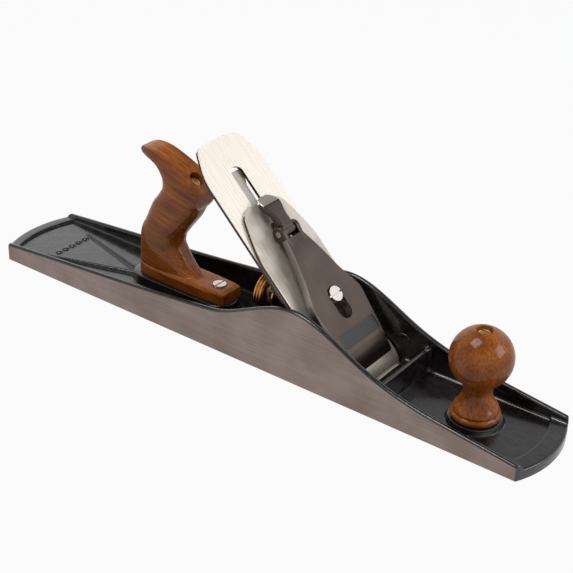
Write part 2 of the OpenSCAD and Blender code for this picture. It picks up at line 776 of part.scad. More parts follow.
// Side outline of the lever cap: the curled lip, the plate and the sloping neck
module lever_side() {
    low = lever_h - lever_t;
    lip = hump_h + lip_gap;
    polygon([[lip_s + 0.2, lip], [18, lip], [24, low - 1], [31, low], [cam_s, low],
        [cam_s, lever_h - 2], [95, lever_h], [30, lever_h], [25, lever_h - 0.9], [20, lever_h - 3],
        [16.5, lever_h - 5.4], [lip_s, lip + 1.6]]);
}

module lever_cap() color("#6b625b") {
    low = lever_h - lever_t;
    ear_r = 5.2;
    difference() {
        union() {
            intersection() {
                bed_plate(0, lever_h + cut) lever_plan();
                bed_across(-lever_w, lever_w) lever_side();
            }
            for (side = [-1, 1]) {
                bed_axle(cam_s, cam_off, side > 0 ? ear_gap/2 : -ear_gap/2 - ear_t,
                    side > 0 ? ear_gap/2 + ear_t : -ear_gap/2, ear_r);
                bed_across(side > 0 ? ear_gap/2 : -ear_gap/2 - ear_t,
                    side > 0 ? ear_gap/2 + ear_t : -ear_gap/2)
                    polygon([[104, low - 1], [cam_s - 1, cam_off - ear_r + 0.1],
                        [cam_s + 1, cam_off + ear_r - 1.1], [cam_s - 3, lever_h - 1.4], [104, lever_h - 1]]);
            }
        }
        bed_pin(screw_s, low - 2, lever_h + cut, cap_screw_d/2 + slide_fit);
        bed_plate(low - 2, lever_h + cut) translate([keyhole_s, -cap_screw_d/2 - slide_fit + 0.02])
            square([screw_s - keyhole_s, cap_screw_d + 2*slide_fit - 0.04]);
        bed_pin(keyhole_s, low - 2, lever_h + cut, keyhole_r);
        bed_pin(screw_s, cap_head_off, lever_h + cut, cap_head_d/2 + 0.8);
        bed_plate(cap_head_off, lever_h + cut) translate([keyhole_s, -cap_head_d/2 - 0.78])
            square([screw_s - keyhole_s, cap_head_d + 1.56]);
        bed_plate(lever_h - panel_depth, lever_h + cut) translate([panel_s[0], -panel_w/2])
            square([panel_s[1] - panel_s[0], panel_w]);
        bed_axle(cam_s, cam_off, -lever_w, lever_w, cam_pin_d/2 + run_fit);
        bed_plate(low - 2, lever_h + cut) translate([cam_s - ear_len, -ear_gap/2])
            square([2*ear_len, ear_gap]);
        bed_pin(rivet_s, low - cut, low + 3.5, rivet_d/2 + run_fit);
        for (side = [-1, 1]) shoulder_cut(side);
    }
}

// Slopes off one lower shoulder of the lever cap, more toward the lip
module shoulder_cut(side) {
    block = 60;
    mirror([0, side > 0 ? 0 : 1, 0]) on_bed() translate([-shoulder_s, lever_w/2, lever_h])
        rotate([-45, shoulder_lean, 0]) translate([-block, -block/2, 0]) cube([3*block, block, block]);
}

// The spring lies flat under the lever cap at its rivet and bows down under the cam
module lever_cap_spring() color("#b9b2a8") {
    low = lever_h - lever_t;
    rest = cam_off - cam_r - cam_lobe - 0.1;
    difference() {
        bed_across(-spring_w/2, spring_w/2) polygon([[90, low], [101, low], [111, rest], [125, rest],
            [128.5, rest + 1], [129, rest + 0.4], [125.5, rest - spring_t], [110.6, rest - spring_t],
            [100.6, low - spring_t], [90, low - spring_t]]);
        bed_pin(rivet_s, low - 2, low + cut, rivet_d/2 + run_fit);
    }
}

module spring_rivet() color("#8a8682") {
    low = lever_h - lever_t;
    bed_pin(rivet_s, low - spring_t - 0.9, low - spring_t, rivet_d/2 + 1);
    bed_pin(rivet_s, low - spring_t - 0.5, low + 3.4, rivet_d/2);
}

module cam_pivot_pin() color("#b9b2a8") {
    reach = ear_gap/2 + ear_t;
    bed_axle(cam_s, cam_off, -reach, reach, cam_pin_d/2);
}

// Plan of the cam lever: a hub between the ears that widens into a thumb rest
module thumb_plan() {
    hub = ear_gap/2 - slide_fit;
    half = thumb_w/2;
    side = [[cam_s - 6, hub], [cam_s + 9, hub], [cam_s + 13, half - 2.6], [cam_s + 17, half - 0.8],
        [cam_s + 21, half], [cam_s + 24, half - 0.8], [cam_s + 27, half - 3], [cam_s + 28, half - 5.5]];
    polygon(concat(side, [for (k = [len(side) - 1:-1:0]) [side[k][0], -side[k][1]]]));
}

module cam_lever() color("#6b625b") {
    hub = ear_gap/2 - slide_fit;
    difference() {
        union() {
            bed_axle(cam_s, cam_off, -hub, hub, cam_r);
            bed_axle(cam_s, cam_off - cam_lobe, -hub, hub, cam_r);
            intersection() {
                bed_plate(0, 20) thumb_plan();
                bed_across(-thumb_w, thumb_w) polygon([[cam_s, cam_off], [cam_s - 0.5, cam_off + 3.9],
                    [cam_s + 3, cam_off + 4.2], [cam_s + 12, cam_off + 4], [cam_s + 20, cam_off + 2.4],
                    [cam_s + 26, cam_off + 0.2], [cam_s + 28, cam_off - 1.4], [cam_s + 27, cam_off - 3],
                    [cam_s + 22, cam_off - 2.6], [cam_s + 13, cam_off - 1.2], [cam_s + 6, cam_off - 1.5]]);
            }
        }
        bed_axle(cam_s, cam_off, -thumb_w, thumb_w, cam_pin_d/2 + run_fit);
    }
}

// Ring of points round the tote between one rear and one front point
function tote_ring(ring) =
    let (mid = [(ring[0] + ring[2])/2, (ring[1] + ring[3])/2],
         reach = [(ring[2] - ring[0])/2, (ring[3] - ring[1])/2])
    [for (k = [0:tote_sides - 1])
        let (turn = 360*k/tote_sides, c = rounded(cos(turn)), s = rounded(sin(turn)))
        [mid[0] + c*reach[0], s*ring[4]*tote_t/2, mid[1] + c*reach[1]]];

// The tote's skin: one ring of points after another, closed at both ends
module tote_skin() {
    n = tote_sides;
    last = len(tote_rings) - 1;
    polyhedron(
        points = [for (ring = tote_rings) each tote_ring(ring)],
        faces = concat(
            [[for (k = [0:n - 1]) k]],
            [for (r = [0:last - 1], k = [0:n - 1]) [r*n + k, (r + 1)*n + k, r*n + (k + 1)%n]],
            [for (r = [0:last - 1], k = [0:n - 1])
                [r*n + (k + 1)%n, (r + 1)*n + k, (r + 1)*n + (k + 1)%n]],
            [[for (k = [n - 1:-1:0]) last*n + k]]));
}

module tote() color("#a5632a") {
    difference() {
        translate([tote_x, 0, tote_z]) tote_skin();
        rod_line(-5) cylinder(h = rod_len + 30, d = rod_d + 2*slide_fit);
        rod_line(rod_len - nut_sunk) cylinder(h = 30, d = nut_d + 2*slide_fit);
        translate([tote_x, 0, tote_z - cut]) cylinder(h = 30, d = toe_screw_d + 2*slide_fit);
        translate([tote_x, 0, tote_z + toe_top - toe_head_t + 1.2])
            cylinder(h = 20, d = toe_head_d + 2*slide_fit);
    }
}

module tote_rod() color("#8a8682") {
    rod_line(2) cylinder(h = rod_len - nut_sunk, d = rod_d);
}

// A slotted nut with a blind bore for its rod
module slotted_nut() {
    difference() {
        cylinder(h = nut_h, d = nut_d);
        translate([0, 0, -cut]) cylinder(h = nut_h/2 + cut, d = rod_d + 2*run_fit);
        translate([0, 0, nut_h]) slot_cut(nut_d, 1.6);
    }
}

module tote_nut() color("#b98a4e") {
    rod_line(rod_len - nut_sunk) slotted_nut();
}

module tote_toe_screw() color("#b98a4e") {
    head_z = tote_z + toe_top - toe_head_t + 1.2;
    translate([tote_x, 0, 0]) difference() {
        union() {
            translate([0, 0, rear_floor - 1.5]) cylinder(h = head_z - rear_floor + 2, d = toe_screw_d);
            translate([0, 0, head_z]) cylinder(h = toe_head_t, d = toe_head_d);
        }
        translate([0, 0, head_z + toe_head_t]) slot_cut(toe_head_d, 1.3);
    }
}

module knob() color("#a5632a") {
    neck = knob_neck_r;
    translate([knob_x, 0, knob_z]) difference() {
        rotate_extrude($fn = 96) polygon(concat(
            [[0, 0], [knob_base_r - 1.6, 0], [knob_base_r - 0.3, 1], [knob_base_r, 2.4],
             [knob_base_r - 0.4, 3.8], [knob_base_r - 1.5, 4.8], [knob_base_r - 1.2, 5.8],
             [knob_base_r - 1.8, 7.4], [neck + 3.2, 10.6], [neck + 1.3, 14.2], [neck + 0.3, 17.4],
             [neck, 19.7], [neck + 0.5, 22.2], [neck + 1.6, 24.6]],
            [for (a = [-50:8:70]) [knob_d/2*cos(a), ball_z + knob_d/2*sin(a)]],
            [[knob_d/2*cos(75), knob_top], [0, knob_top]]));
        translate([0, 0, -cut]) cylinder(h = knob_top + 2*cut, d = rod_d + 2*slide_fit);
        translate([0, 0, knob_top - nut_sunk]) cylinder(h = 20, d = nut_d + 2*slide_fit);
    }
}

module knob_rod() color("#8a8682") {
    translate([knob_x, 0, front_floor - 1.5])
        cylinder(h = knob_seat + 1.5 + knob_top - nut_sunk + nut_h/2 - 0.5, d = rod_d);
}

module knob_nut() color("#b98a4e") {
    translate([knob_x, 0, knob_z + knob_top - nut_sunk]) slotted_nut();
}

body_casting();
frog();
frog_screws();
frog_washers();
frog_adjusting_screw();
frog_adjusting_plate();
frog_plate_screw();
lateral_pivot_rivet();
lateral_lever();
lateral_disc();
yoke_pivot_pin();
depth_yoke();
depth_stud();
depth_wheel();
lever_cap_screw();
cutting_iron();
cap_iron();
cap_iron_screw();
lever_cap();
lever_cap_spring();
spring_rivet();
cam_pivot_pin();
cam_lever();
tote();
tote_rod();
tote_nut();
tote_toe_screw();
knob();
knob_rod();
knob_nut();
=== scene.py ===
"""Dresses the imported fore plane: finer shapes for the pieces that show, and a finish for every piece."""

import bmesh
import bpy
import numpy as np
from mathutils import Matrix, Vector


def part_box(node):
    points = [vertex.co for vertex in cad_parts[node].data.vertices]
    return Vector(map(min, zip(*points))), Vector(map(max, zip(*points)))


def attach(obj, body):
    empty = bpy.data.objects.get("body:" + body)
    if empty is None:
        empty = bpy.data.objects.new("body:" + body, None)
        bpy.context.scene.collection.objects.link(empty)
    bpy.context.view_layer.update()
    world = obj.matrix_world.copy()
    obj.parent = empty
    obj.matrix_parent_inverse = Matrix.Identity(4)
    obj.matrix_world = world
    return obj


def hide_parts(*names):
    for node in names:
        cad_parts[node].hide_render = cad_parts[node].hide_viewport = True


bl_info = {
    "name": "Fore plane dressing",
    "version": (1, 0, 0),
    "blender": (4, 5, 0),
    "location": "View3D > Sidebar > Fore plane",
    "description": "Builds the looks of a wooden-handled iron fore plane round its packed frame",
    "category": "Object",
}

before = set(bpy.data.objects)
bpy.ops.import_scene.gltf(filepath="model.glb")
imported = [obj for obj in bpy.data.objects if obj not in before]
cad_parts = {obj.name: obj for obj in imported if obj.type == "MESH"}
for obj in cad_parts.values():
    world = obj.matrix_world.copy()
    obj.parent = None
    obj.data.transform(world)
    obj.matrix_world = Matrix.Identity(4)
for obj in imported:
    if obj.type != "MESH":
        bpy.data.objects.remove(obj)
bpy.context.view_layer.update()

MM = 0.001
IMAGE_SIDE = 573
SENSOR = 36.0


def corner_mm(node, end, axis):
    """One coordinate of a CAD node's lowest (end 0) or highest (end 1) corner, in millimetres."""
    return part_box(node)[end][axis] / MM


def middle_mm(node, axis):
    """The middle of a CAD node's box along one axis, in millimetres."""
    return (corner_mm(node, 0, axis) + corner_mm(node, 1, axis)) / 2


def bed_place(node):
    """How far up the bed the middle of a CAD node lies, and how high above the iron's face."""
    x, z = middle_mm(node, 0) - MOUTH_X, middle_mm(node, 2)
    return (z - x) / (2 * COS45), (z + x) / (2 * COS45)


# Sizes that the frame doesn't give, in millimetres, as in the solids
MOUTH_X = 96.35
CHEEK = 4.0
REAR_FLOOR = 9.5
THROAT_FLOOR = 6.5
FRONT_FLOOR = 5.0
RIB_X = 115.5
RIB_TOP = 22.0
IRON_T = 2.2
COS45 = np.sqrt(0.5)

# Sizes that the frame gives, in millimetres
SOLE_REAR = corner_mm("body_casting", 0, 0)
SOLE_FRONT = corner_mm("body_casting", 1, 0)
HALF_SOLE = corner_mm("body_casting", 1, 1)
WALL_Y = HALF_SOLE - CHEEK
SEAT_Z = corner_mm("frog", 0, 2)
TOTE_X = middle_mm("tote_toe_screw", 0)
TOTE_Z = corner_mm("tote", 0, 2)
KNOB_X = middle_mm("knob_nut", 0)
KNOB_Z = corner_mm("knob", 0, 2)
WHEEL_REAR = corner_mm("depth_wheel", 0, 0)
WHEEL_Z = middle_mm("depth_wheel", 2)
WHEEL_R = corner_mm("depth_wheel", 1, 1)
BLADE_HALF = corner_mm("cutting_iron", 1, 1)
CAP_HALF = corner_mm("cap_iron", 1, 1)
LEVER_SIDE = corner_mm("lever_cap", 1, 1)
CAM_PIN = bed_place("cam_pivot_pin")
SCREW_S = bed_place("lever_cap_screw")[0]
SIDEWAYS = (0.0, 1.0, 0.0)
UP_BED = (-COS45, 0.0, COS45)
BED_TURN = (0.0, np.radians(-45), 0.0)


# curves and surfaces


def hermite(low, high, low_slope, high_slope, run, t):
    """The cubic that leaves low and meets high at their slopes, at share t of the run."""
    t2, t3 = t * t, t * t * t
    leave = (2 * t3 - 3 * t2 + 1) * low + (t3 - 2 * t2 + t) * run * low_slope
    return leave + (3 * t2 - 2 * t3) * high + (t3 - t2) * run * high_slope


def flowing(points, at):
    """A smooth line through points (place, value): a cubic on each span, whose slope at a point is the
    harmonic mean of the slopes beside it, or none where the line turns back, so it never overshoots."""
    x, y = np.array(points, float).T
    steps = np.diff(y) / np.diff(x)
    product = steps[1:] * steps[:-1]
    total = np.where(product > 0, steps[1:] + steps[:-1], 1)
    inner = np.where(product > 0, 2 * product / total, 0)
    slopes = np.concatenate([steps[:1], inner, steps[-1:]])
    k = np.clip(np.searchsorted(x, at, side="right") - 1, 0, len(x) - 2)
    run = x[k + 1] - x[k]
    share = np.clip((at - x[k]) / run, 0, 1)
    return hermite(y[k], y[k + 1], slopes[k], slopes[k + 1], run, share)


def smooth_step(x, low, high):
    """Rises from 0 at low to 1 at high with level ends."""
    t = np.clip((x - low) / (high - low), 0, 1)
    return t * t * (3 - 2 * t)


def stations(low, high, count, *dense):
    """Evenly spaced places from low to high, with extra ones added."""
    return np.unique(np.concatenate([np.linspace(low, high, count), *dense]))


def grid_faces(rows, cols, loop_rows=False, loop_cols=False):
    """Quads between neighbouring rows and columns; a looped way also joins its last line to its first."""
    r = np.arange(rows if loop_rows else rows - 1)[:, None]
    c = np.arange(cols if loop_cols else cols - 1)[None, :]
    r2, c2 = (r + 1) % rows, (c + 1) % cols
    quads = np.stack([r * cols + c, r * cols + c2, r2 * cols + c2, r2 * cols + c], axis=-1)
    return quads.reshape(-1, 4)


def tube(grid, capped=True):
    """A skin round rows of closed rings, with a flat face on each end. Returns points and faces."""
    rows, cols = grid.shape[:2]
    faces = grid_faces(rows, cols, loop_cols=True).tolist()
    if capped:
        ring = np.arange(cols)
        faces += [ring[::-1].tolist(), (ring + (rows - 1) * cols).tolist()]
    return grid.reshape(-1, 3), faces


def revolve(profile, sides=96, closed=False):
    """Turns a profile of (radius, height) round the z axis: x and y are the radius times the cosine and
    the sine of the turn. A closed profile joins its end to its start."""
    radius, height = np.array(profile, float)[:, :, None].transpose(1, 0, 2)
    turn = np.linspace(0, 2 * np.pi, sides, endpoint=False)
    x, y = radius * np.cos(turn), radius * np.sin(turn)
    grid = np.stack([x, y, np.broadcast_to(height, x.shape)], axis=-1)
    faces = grid_faces(len(profile), sides, loop_rows=closed, loop_cols=True)
    return grid.reshape(-1, 3), faces.tolist()


def pillar(radius, low, high, sides=48):
    """A cylinder on the z axis."""
    return revolve([(0, low), (radius, low), (radius, high), (0, high)], sides)


def along(points, count):
    """A smooth path through points (a, b): each coordinate flows over the length walked so far."""
    points = np.array(points, float)
    walked = np.concatenate([[0], np.cumsum(np.linalg.norm(np.diff(points, axis=0), axis=1))])
    at = np.linspace(0, walked[-1], count)
    return np.stack([flowing(np.stack([walked, points[:, k]], 1), at) for k in (0, 1)], axis=1)


def loft(outline, levels):
    """Stacks a closed outline (a, b) at levels (height, outset): each ring is the outline moved out along
    its own normals, which are its tangents turned by a right angle. The ends are flat."""
    outline = np.array(outline, float)
    edge_in = outline - np.roll(outline, 1, axis=0)
    edge_out = np.roll(outline, -1, axis=0) - outline
    unit_in = edge_in / np.linalg.norm(edge_in, axis=1, keepdims=True)
    unit_out = edge_out / np.linalg.norm(edge_out, axis=1, keepdims=True)
    mean = unit_in + unit_out
    mean /= np.linalg.norm(mean, axis=1, keepdims=True)
    area = np.sum(outline[:, 0] * np.roll(outline[:, 1], -1) - outline[:, 1] * np.roll(outline[:, 0], -1))
    normal = np.stack([mean[:, 1], -mean[:, 0]], axis=1) * np.sign(area)
    reach = 1 / np.clip(np.sum(unit_in * mean, axis=1), 0.6, 1)
    levels = np.array(levels, float)
    flat = outline[None] + normal[None] * reach[None, :, None] * levels[:, 1, None, None]
    height = np.broadcast_to(levels[:, 0, None, None], flat.shape[:2] + (1,))
    return tube(np.concatenate([flat, height], axis=2))


def prism(outline, low, high):
    """A closed outline carried straight up from a low to a high level."""
    return loft(outline, [(low, 0), (high, 0)])


def rounded_levels(low, high, edge, foot=0.0):
    """Levels for a loft from low to high: a quarter round of radius edge at the top, and at the bottom
    the same, or a flare of radius foot where one is given."""
    turn = np.linspace(0, np.pi / 2, 5)
    top = np.stack([high - edge + edge * np.sin(turn), edge * (np.cos(turn) - 1)], axis=1)
    if foot:
        bottom = np.stack([low + foot * (1 - np.cos(turn)), foot * (1 - np.sin(turn))], axis=1)
    else:
        bottom = np.stack([low + edge * (1 - np.cos(turn)), edge * (np.sin(turn) - 1)], axis=1)
    return np.concatenate([bottom, top])


def slab(s, half, low, high, edge, crease=None):
    """A plate along s, whose half width and lower and upper face are given at each station. Each section
    is a flat bottom, a quarter round, a side, a quarter round and a flat top. The faces may vary over y,
    and one column of points follows a crease where one is given."""
    turn = np.linspace(0, np.pi / 2, 4)
    thick = high(s, 0 * s) - low(s, 0 * s)
    edge_z = np.minimum(edge, 0.45 * thick)[:, None]
    half = np.broadcast_to(half, s.shape)[:, None]
    edge_y = np.minimum(edge_z, half * 0.5)
    limit = half - edge_y
    bend = limit * 0.8 if crease is None else np.clip(crease[:, None], 0, limit - 0.01)
    beyond = bend + (limit - bend) * np.array([0.34, 0.67, 1])
    right = np.concatenate([bend * np.linspace(0, 1, 8), beyond], axis=1)
    y_flat = np.concatenate([-right[:, :0:-1], right], axis=1)
    side_y = limit + edge_y * np.sin(turn)
    rise = edge_z * (1 - np.cos(turn))
    wide = s[:, None]
    low_y, high_y = low(wide, y_flat), high(wide, y_flat)
    low_side, high_side = low(wide, side_y) + rise, high(wide, side_y) - rise
    y = np.concatenate([y_flat, side_y[:, 1:], side_y[:, ::-1], y_flat[:, ::-1][:, 1:],
                        -side_y[:, 1:], -side_y[:, ::-1][:, :-1]], axis=1)
    z = np.concatenate([low_y, low_side[:, 1:], high_side[:, ::-1], high_y[:, ::-1][:, 1:],
                        high_side[:, 1:], low_side[:, ::-1][:, :-1]], axis=1)
    return tube(np.stack([np.broadcast_to(wide, y.shape), y, z], axis=-1))


def on_bed(shell):
    """Turns a shell of (distance up the bed, y, height above the iron's face) into the row frame."""
    points, faces = shell
    s, y, off = points.T
    return np.stack([MOUTH_X + (off - s) * COS45, y, (s + off) * COS45], axis=1), faces


def swapped(shell, order):
    """A shell with its three coordinates taken in another order."""
    points, faces = shell
    return points[:, order], faces


def moved(shell, x=0.0, y=0.0, z=0.0):
    """A shell carried by x, y and z."""
    return shell[0] + np.array([x, y, z]), shell[1]


def mirrored(shell):
    """A shell's mirror image across the middle plane."""
    return shell[0] * np.array([1, -1, 1]), shell[1]


def circle(radius, centre=(0.0, 0.0), sides=48):
    """Points round a circle: its centre plus the radius times the cosine and sine of the turn."""
    turn = np.linspace(0, 2 * np.pi, sides, endpoint=False)
    return np.stack([centre[0] + radius * np.cos(turn), centre[1] + radius * np.sin(turn)], axis=1)


def stadium(low, high, radius, b=0.0, sides=24):
    """A slot's outline: two half circles round (low, b) and (high, b), joined by straight sides."""
    turn = np.linspace(-np.pi / 2, np.pi / 2, sides)
    right = np.stack([high + radius * np.cos(turn), b + radius * np.sin(turn)], axis=1)
    left = np.stack([low - radius * np.cos(turn), b - radius * np.sin(turn)], axis=1)
    return np.concatenate([right, left])


def rectangle(a0, a1, b0, b1, corner, steps=6):
    """A rectangle's outline with quarter rounds at its corners."""
    turn = np.linspace(0, np.pi / 2, steps)
    arcs = []
    for k, (a, b) in enumerate([(a1, b1), (a0, b1), (a0, b0), (a1, b0)]):
        centre = (a - corner * (1 if a == a1 else -1), b - corner * (1 if b == b1 else -1))
        angle = turn + k * np.pi / 2
        arcs.append(np.stack([centre[0] + corner * np.cos(angle), centre[1] + corner * np.sin(angle)], 1))
    return np.concatenate(arcs)


# meshes


def linked(name, data):
    """A new object with this data, in the scene."""
    thing = bpy.data.objects.new(name, data)
    bpy.context.scene.collection.objects.link(thing)
    return thing


def mesh_of(shell, index=0):
    """A mesh from one shell, in metres, with its doubles merged and its normals outward."""
    points, faces = shell
    mesh = bpy.data.meshes.new("shell")
    mesh.from_pydata((points * MM).tolist(), [], faces)
    marks = np.broadcast_to(np.asarray(index, np.int32), (len(mesh.polygons),))
    mesh.polygons.foreach_set("material_index", np.ascontiguousarray(marks))
    cage = bmesh.new()
    cage.from_mesh(mesh)
    bmesh.ops.remove_doubles(cage, verts=cage.verts, dist=2e-7)
    bmesh.ops.dissolve_degenerate(cage, edges=cage.edges, dist=1e-7)
    bmesh.ops.recalc_face_normals(cage, faces=cage.faces)
    cage.to_mesh(mesh)
    cage.free()
    return mesh


def carved(mesh, cutters):
    """The mesh with each cutter shell taken out of it."""
    block = linked("block", mesh)
    tools = [linked("tool", mesh_of(shell)) for shell in cutters]
    for tool in tools:
        bite = block.modifiers.new("bite", "BOOLEAN")
        bite.operation = "DIFFERENCE"
        bite.solver = "EXACT"
        bite.object = tool
    graph = bpy.context.evaluated_depsgraph_get()
    result = bpy.data.meshes.new_from_object(block.evaluated_get(graph))
    for thing in [block, *tools]:
        data = thing.data
        bpy.data.objects.remove(thing)
        bpy.data.meshes.remove(data)
    return result


def marked(mesh, way, least, index=1):
    """The mesh with a material index for the faces whose normal lies along a way, or its mirror across
    the middle plane, by more than a least share."""
    normals = np.zeros(len(mesh.polygons) * 3)
    mesh.polygons.foreach_get("normal", normals)
    normals = normals.reshape(-1, 3)
    normals[:, 1] = np.abs(normals[:, 1])
    marks = np.where(normals @ np.array(way) > least, index, 0)
    mesh.polygons.foreach_set("material_index", marks.astype(np.int32))
    return mesh


def piece(name, meshes, finishes, body, replaced, sharp=32):
    """One finished piece from its meshes: joined, shaded smooth below the sharp angle, given its
    materials, and set to ride on its body in place of its CAD node."""
    cage = bmesh.new()
    for mesh in meshes:
        cage.from_mesh(mesh)
        bpy.data.meshes.remove(mesh)
    whole = bpy.data.meshes.new(name)
    cage.to_mesh(whole)
    cage.free()
    for finish in finishes:
        whole.materials.append(finish)
    whole.polygons.foreach_set("use_smooth", np.ones(len(whole.polygons), bool))
    whole.set_sharp_from_angle(angle=np.radians(sharp))
    thing = linked(name, whole)
    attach(thing, body)
    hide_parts(replaced)
    return thing


def dress(node, finish):
    """Gives a kept CAD node its finish."""
    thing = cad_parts[node]
    thing.data.materials.clear()
    thing.data.materials.append(finish)


# finishes

PLAIN_SHARE = 0.94


def linear(colour):
    """An sRGB hex colour, or a property's colour, as linear red, green, blue and alpha."""
    if isinstance(colour, str):
        values = np.array([int(colour[k : k + 2], 16) for k in (1, 3, 5)]) / 255
        values = np.where(values <= 0.04045, values / 12.92, ((values + 0.055) / 1.055) ** 2.4)
        return (*values.tolist(), 1.0)
    return (*list(colour)[:3], 1.0)


def node(tree, kind, values=(), links=(), **settings):
    """Adds one node: its settings, its socket values, and its links from other sockets."""
    made = tree.nodes.new(kind)
    for name, value in settings.items():
        setattr(made, name, value)
    for name, value in dict(values).items():
        made.inputs[name].default_value = value
    for name, source in dict(links).items():
        tree.links.new(source, made.inputs[name])
    return made


def empty_tree(owner):
    """The node tree of a material or a world, cleared."""
    owner.use_nodes = True
    owner.node_tree.nodes.clear()
    return owner.node_tree


def finish_of(name, values):
    """A new material with one Principled shader that has the given socket values. Returns the material,
    its node tree and the shader."""
    made = bpy.data.materials.new(name)
    tree = empty_tree(made)
    shader = node(tree, "ShaderNodeBsdfPrincipled", values)
    node(tree, "ShaderNodeOutputMaterial", links={"Surface": shader.outputs[0]})
    return made, tree, shader


def speckle(tree, widths, detail=3.0, rough=0.55, turn=(0.0, 0.0, 0.0)):
    """Noise over the object's own coordinates, which are turned by an angle first. Its features have the
    given width in millimetres, or one width for each way."""
    stretch = 1 / MM / np.broadcast_to(np.array(widths, float), 3)
    spot = node(tree, "ShaderNodeTexCoord").outputs["Object"]
    turned = node(tree, "ShaderNodeMapping", {"Rotation": turn}, {"Vector": spot}).outputs[0]
    values = {"Scale": stretch.tolist()}
    stretched = node(tree, "ShaderNodeMapping", values, {"Vector": turned}).outputs[0]
    values = {"Scale": 1.0, "Detail": detail, "Roughness": rough}
    return node(tree, "ShaderNodeTexNoise", values, {"Vector": stretched}).outputs["Fac"]


def ramp(tree, factor, stops):
    """Colours or greys over a factor: stops are (place, colour)."""
    made = node(tree, "ShaderNodeValToRGB", links={"Fac": factor})
    band = made.color_ramp.elements
    for k, (at, colour) in enumerate(stops):
        stop = band[k] if k < 2 else band.new(at)
        stop.position = at
        stop.color = linear(colour)
    return made.outputs[0]


def blend_of(tree, mode, share, low, high):
    """Two colours mixed in a mode; share, low and high are each a value or a socket."""
    made = node(tree, "ShaderNodeMix", data_type="RGBA", blend_type=mode)
    for place, value in ((0, share), (6, low), (7, high)):
        if isinstance(value, bpy.types.NodeSocket):
            tree.links.new(value, made.inputs[place])
        else:
            made.inputs[place].default_value = value
    return made.outputs[2]


def feed(tree, shader, tint, rough=None):
    """Links a colour, and a roughness where there is one, to the shader."""
    tree.links.new(tint, shader.inputs["Base Color"])
    if rough is not None:
        tree.links.new(rough, shader.inputs["Roughness"])


def relief(tree, shader, height, depth):
    """Raises the surface by a height pattern; depth is in millimetres."""
    values = {"Strength": 1.0, "Distance": depth * MM}
    made = node(tree, "ShaderNodeBump", values, {"Height": height})
    tree.links.new(made.outputs[0], shader.inputs["Normal"])


def span(tree, factor, low, high):
    """A factor from 0.3 to 0.7 spread over low to high."""
    values = {"From Min": 0.3, "From Max": 0.7, "To Min": low, "To Max": high}
    return node(tree, "ShaderNodeMapRange", values, {"Value": factor}).outputs[0]


def japanned_iron(name, colour, gloss, coat=0.35):
    """Cast iron under baked black japan: deep black, wet gloss, softly uneven like the sand it was cast
    in, with a few dull patches."""
    made, tree, shader = finish_of(name, {"Coat Weight": coat, "Coat Roughness": 0.06, "IOR": 1.5})
    waves = speckle(tree, 7.0, 2.0)
    grit = speckle(tree, 1.1, 2.0)
    tint = ramp(tree, waves, [(0.35, colour), (0.7, "#1d1a19")])
    feed(tree, shader, tint, span(tree, waves, gloss, gloss + 0.16))
    relief(tree, shader, blend_of(tree, "MIX", 0.35, waves, grit), 0.22)
    return made


def ground_iron(name, colour, turn, roughness=0.42, widths=(45.0, 0.45, 0.45), shade=0.16):
    """Iron or steel left bare from the grinder: fine scratches the long way of the piece, with slow
    cloudy changes. The scratches are drawn wider than real ones so that they show."""
    made, tree, shader = finish_of(name, {"Metallic": 1.0})
    scratches = speckle(tree, widths, 4.0, 0.7, turn)
    clouds = speckle(tree, 30.0, 2.0)
    dark = [c * (1 - shade) for c in linear(colour)[:3]]
    light = [min(1.0, c * (1 + shade)) for c in linear(colour)[:3]]
    lines = ramp(tree, scratches, [(0.36, dark), (0.64, light)])
    cloud = ramp(tree, clouds, [(0.3, "#e2ddd9"), (0.7, "#ffffff")])
    tint = blend_of(tree, "MULTIPLY", 1.0, lines, cloud)
    feed(tree, shader, tint, span(tree, scratches, roughness - 0.07, roughness + 0.09))
    relief(tree, shader, scratches, 0.02)
    return made


def plain_steel(name, colour, roughness):
    """Turned or stamped steel as it comes: even grey with faint mottling."""
    made, tree, shader = finish_of(name, {"Metallic": 1.0})
    mottle = speckle(tree, 2.5)
    spots = ramp(tree, mottle, [(0.3, "#8f8a85"), (0.7, "#ffffff")])
    tint = blend_of(tree, "MULTIPLY", 0.25, linear(colour), spots)
    feed(tree, shader, tint, span(tree, mottle, roughness, roughness + 0.1))
    return made


def turned_brass(name, colour):
    """Brass from the lathe: warm yellow, with fine rings where the tool went round."""
    made, tree, shader = finish_of(name, {"Metallic": 1.0})
    rings = speckle(tree, (0.5, 14.0, 14.0))
    tint = ramp(tree, rings, [(0.3, "#8a6236"), (0.55, colour), (0.8, "#dcb07c")])
    feed(tree, shader, tint, span(tree, rings, 0.22, 0.38))
    return made


def lacquered_wood(name, looks, turn):
    """A tropical hardwood under clear lacquer: orange brown, darker growth bands, short dark pores along
    the grain, and a wet gloss on top."""
    values = {"Coat Weight": 0.35, "Coat Roughness": 0.08, "Roughness": 0.45, "Specular IOR Level": 0.1}
    made, tree, shader = finish_of(name, values)
    bands = speckle(tree, (looks.grain, 1.6, 1.6), 3.0, 0.6, turn)
    pores = speckle(tree, (3.0, 0.35, 0.35), 2.0, 0.6, turn)
    clouds = speckle(tree, (30.0, 11.0, 11.0), 1.0, turn=turn)
    body = ramp(tree, bands, [(0.28, looks.dark), (0.5, looks.light), (0.75, "#b0651f")])
    fleck = ramp(tree, pores, [(0.33, "#7a563c"), (0.46, "#ffffff")])
    cloud = ramp(tree, clouds, [(0.3, "#b39a86"), (0.62, "#ffffff")])
    tint = blend_of(tree, "MULTIPLY", 0.5, body, fleck)
    feed(tree, shader, blend_of(tree, "MULTIPLY", 0.7, tint, cloud))
    relief(tree, shader, pores, 0.04)
    return made


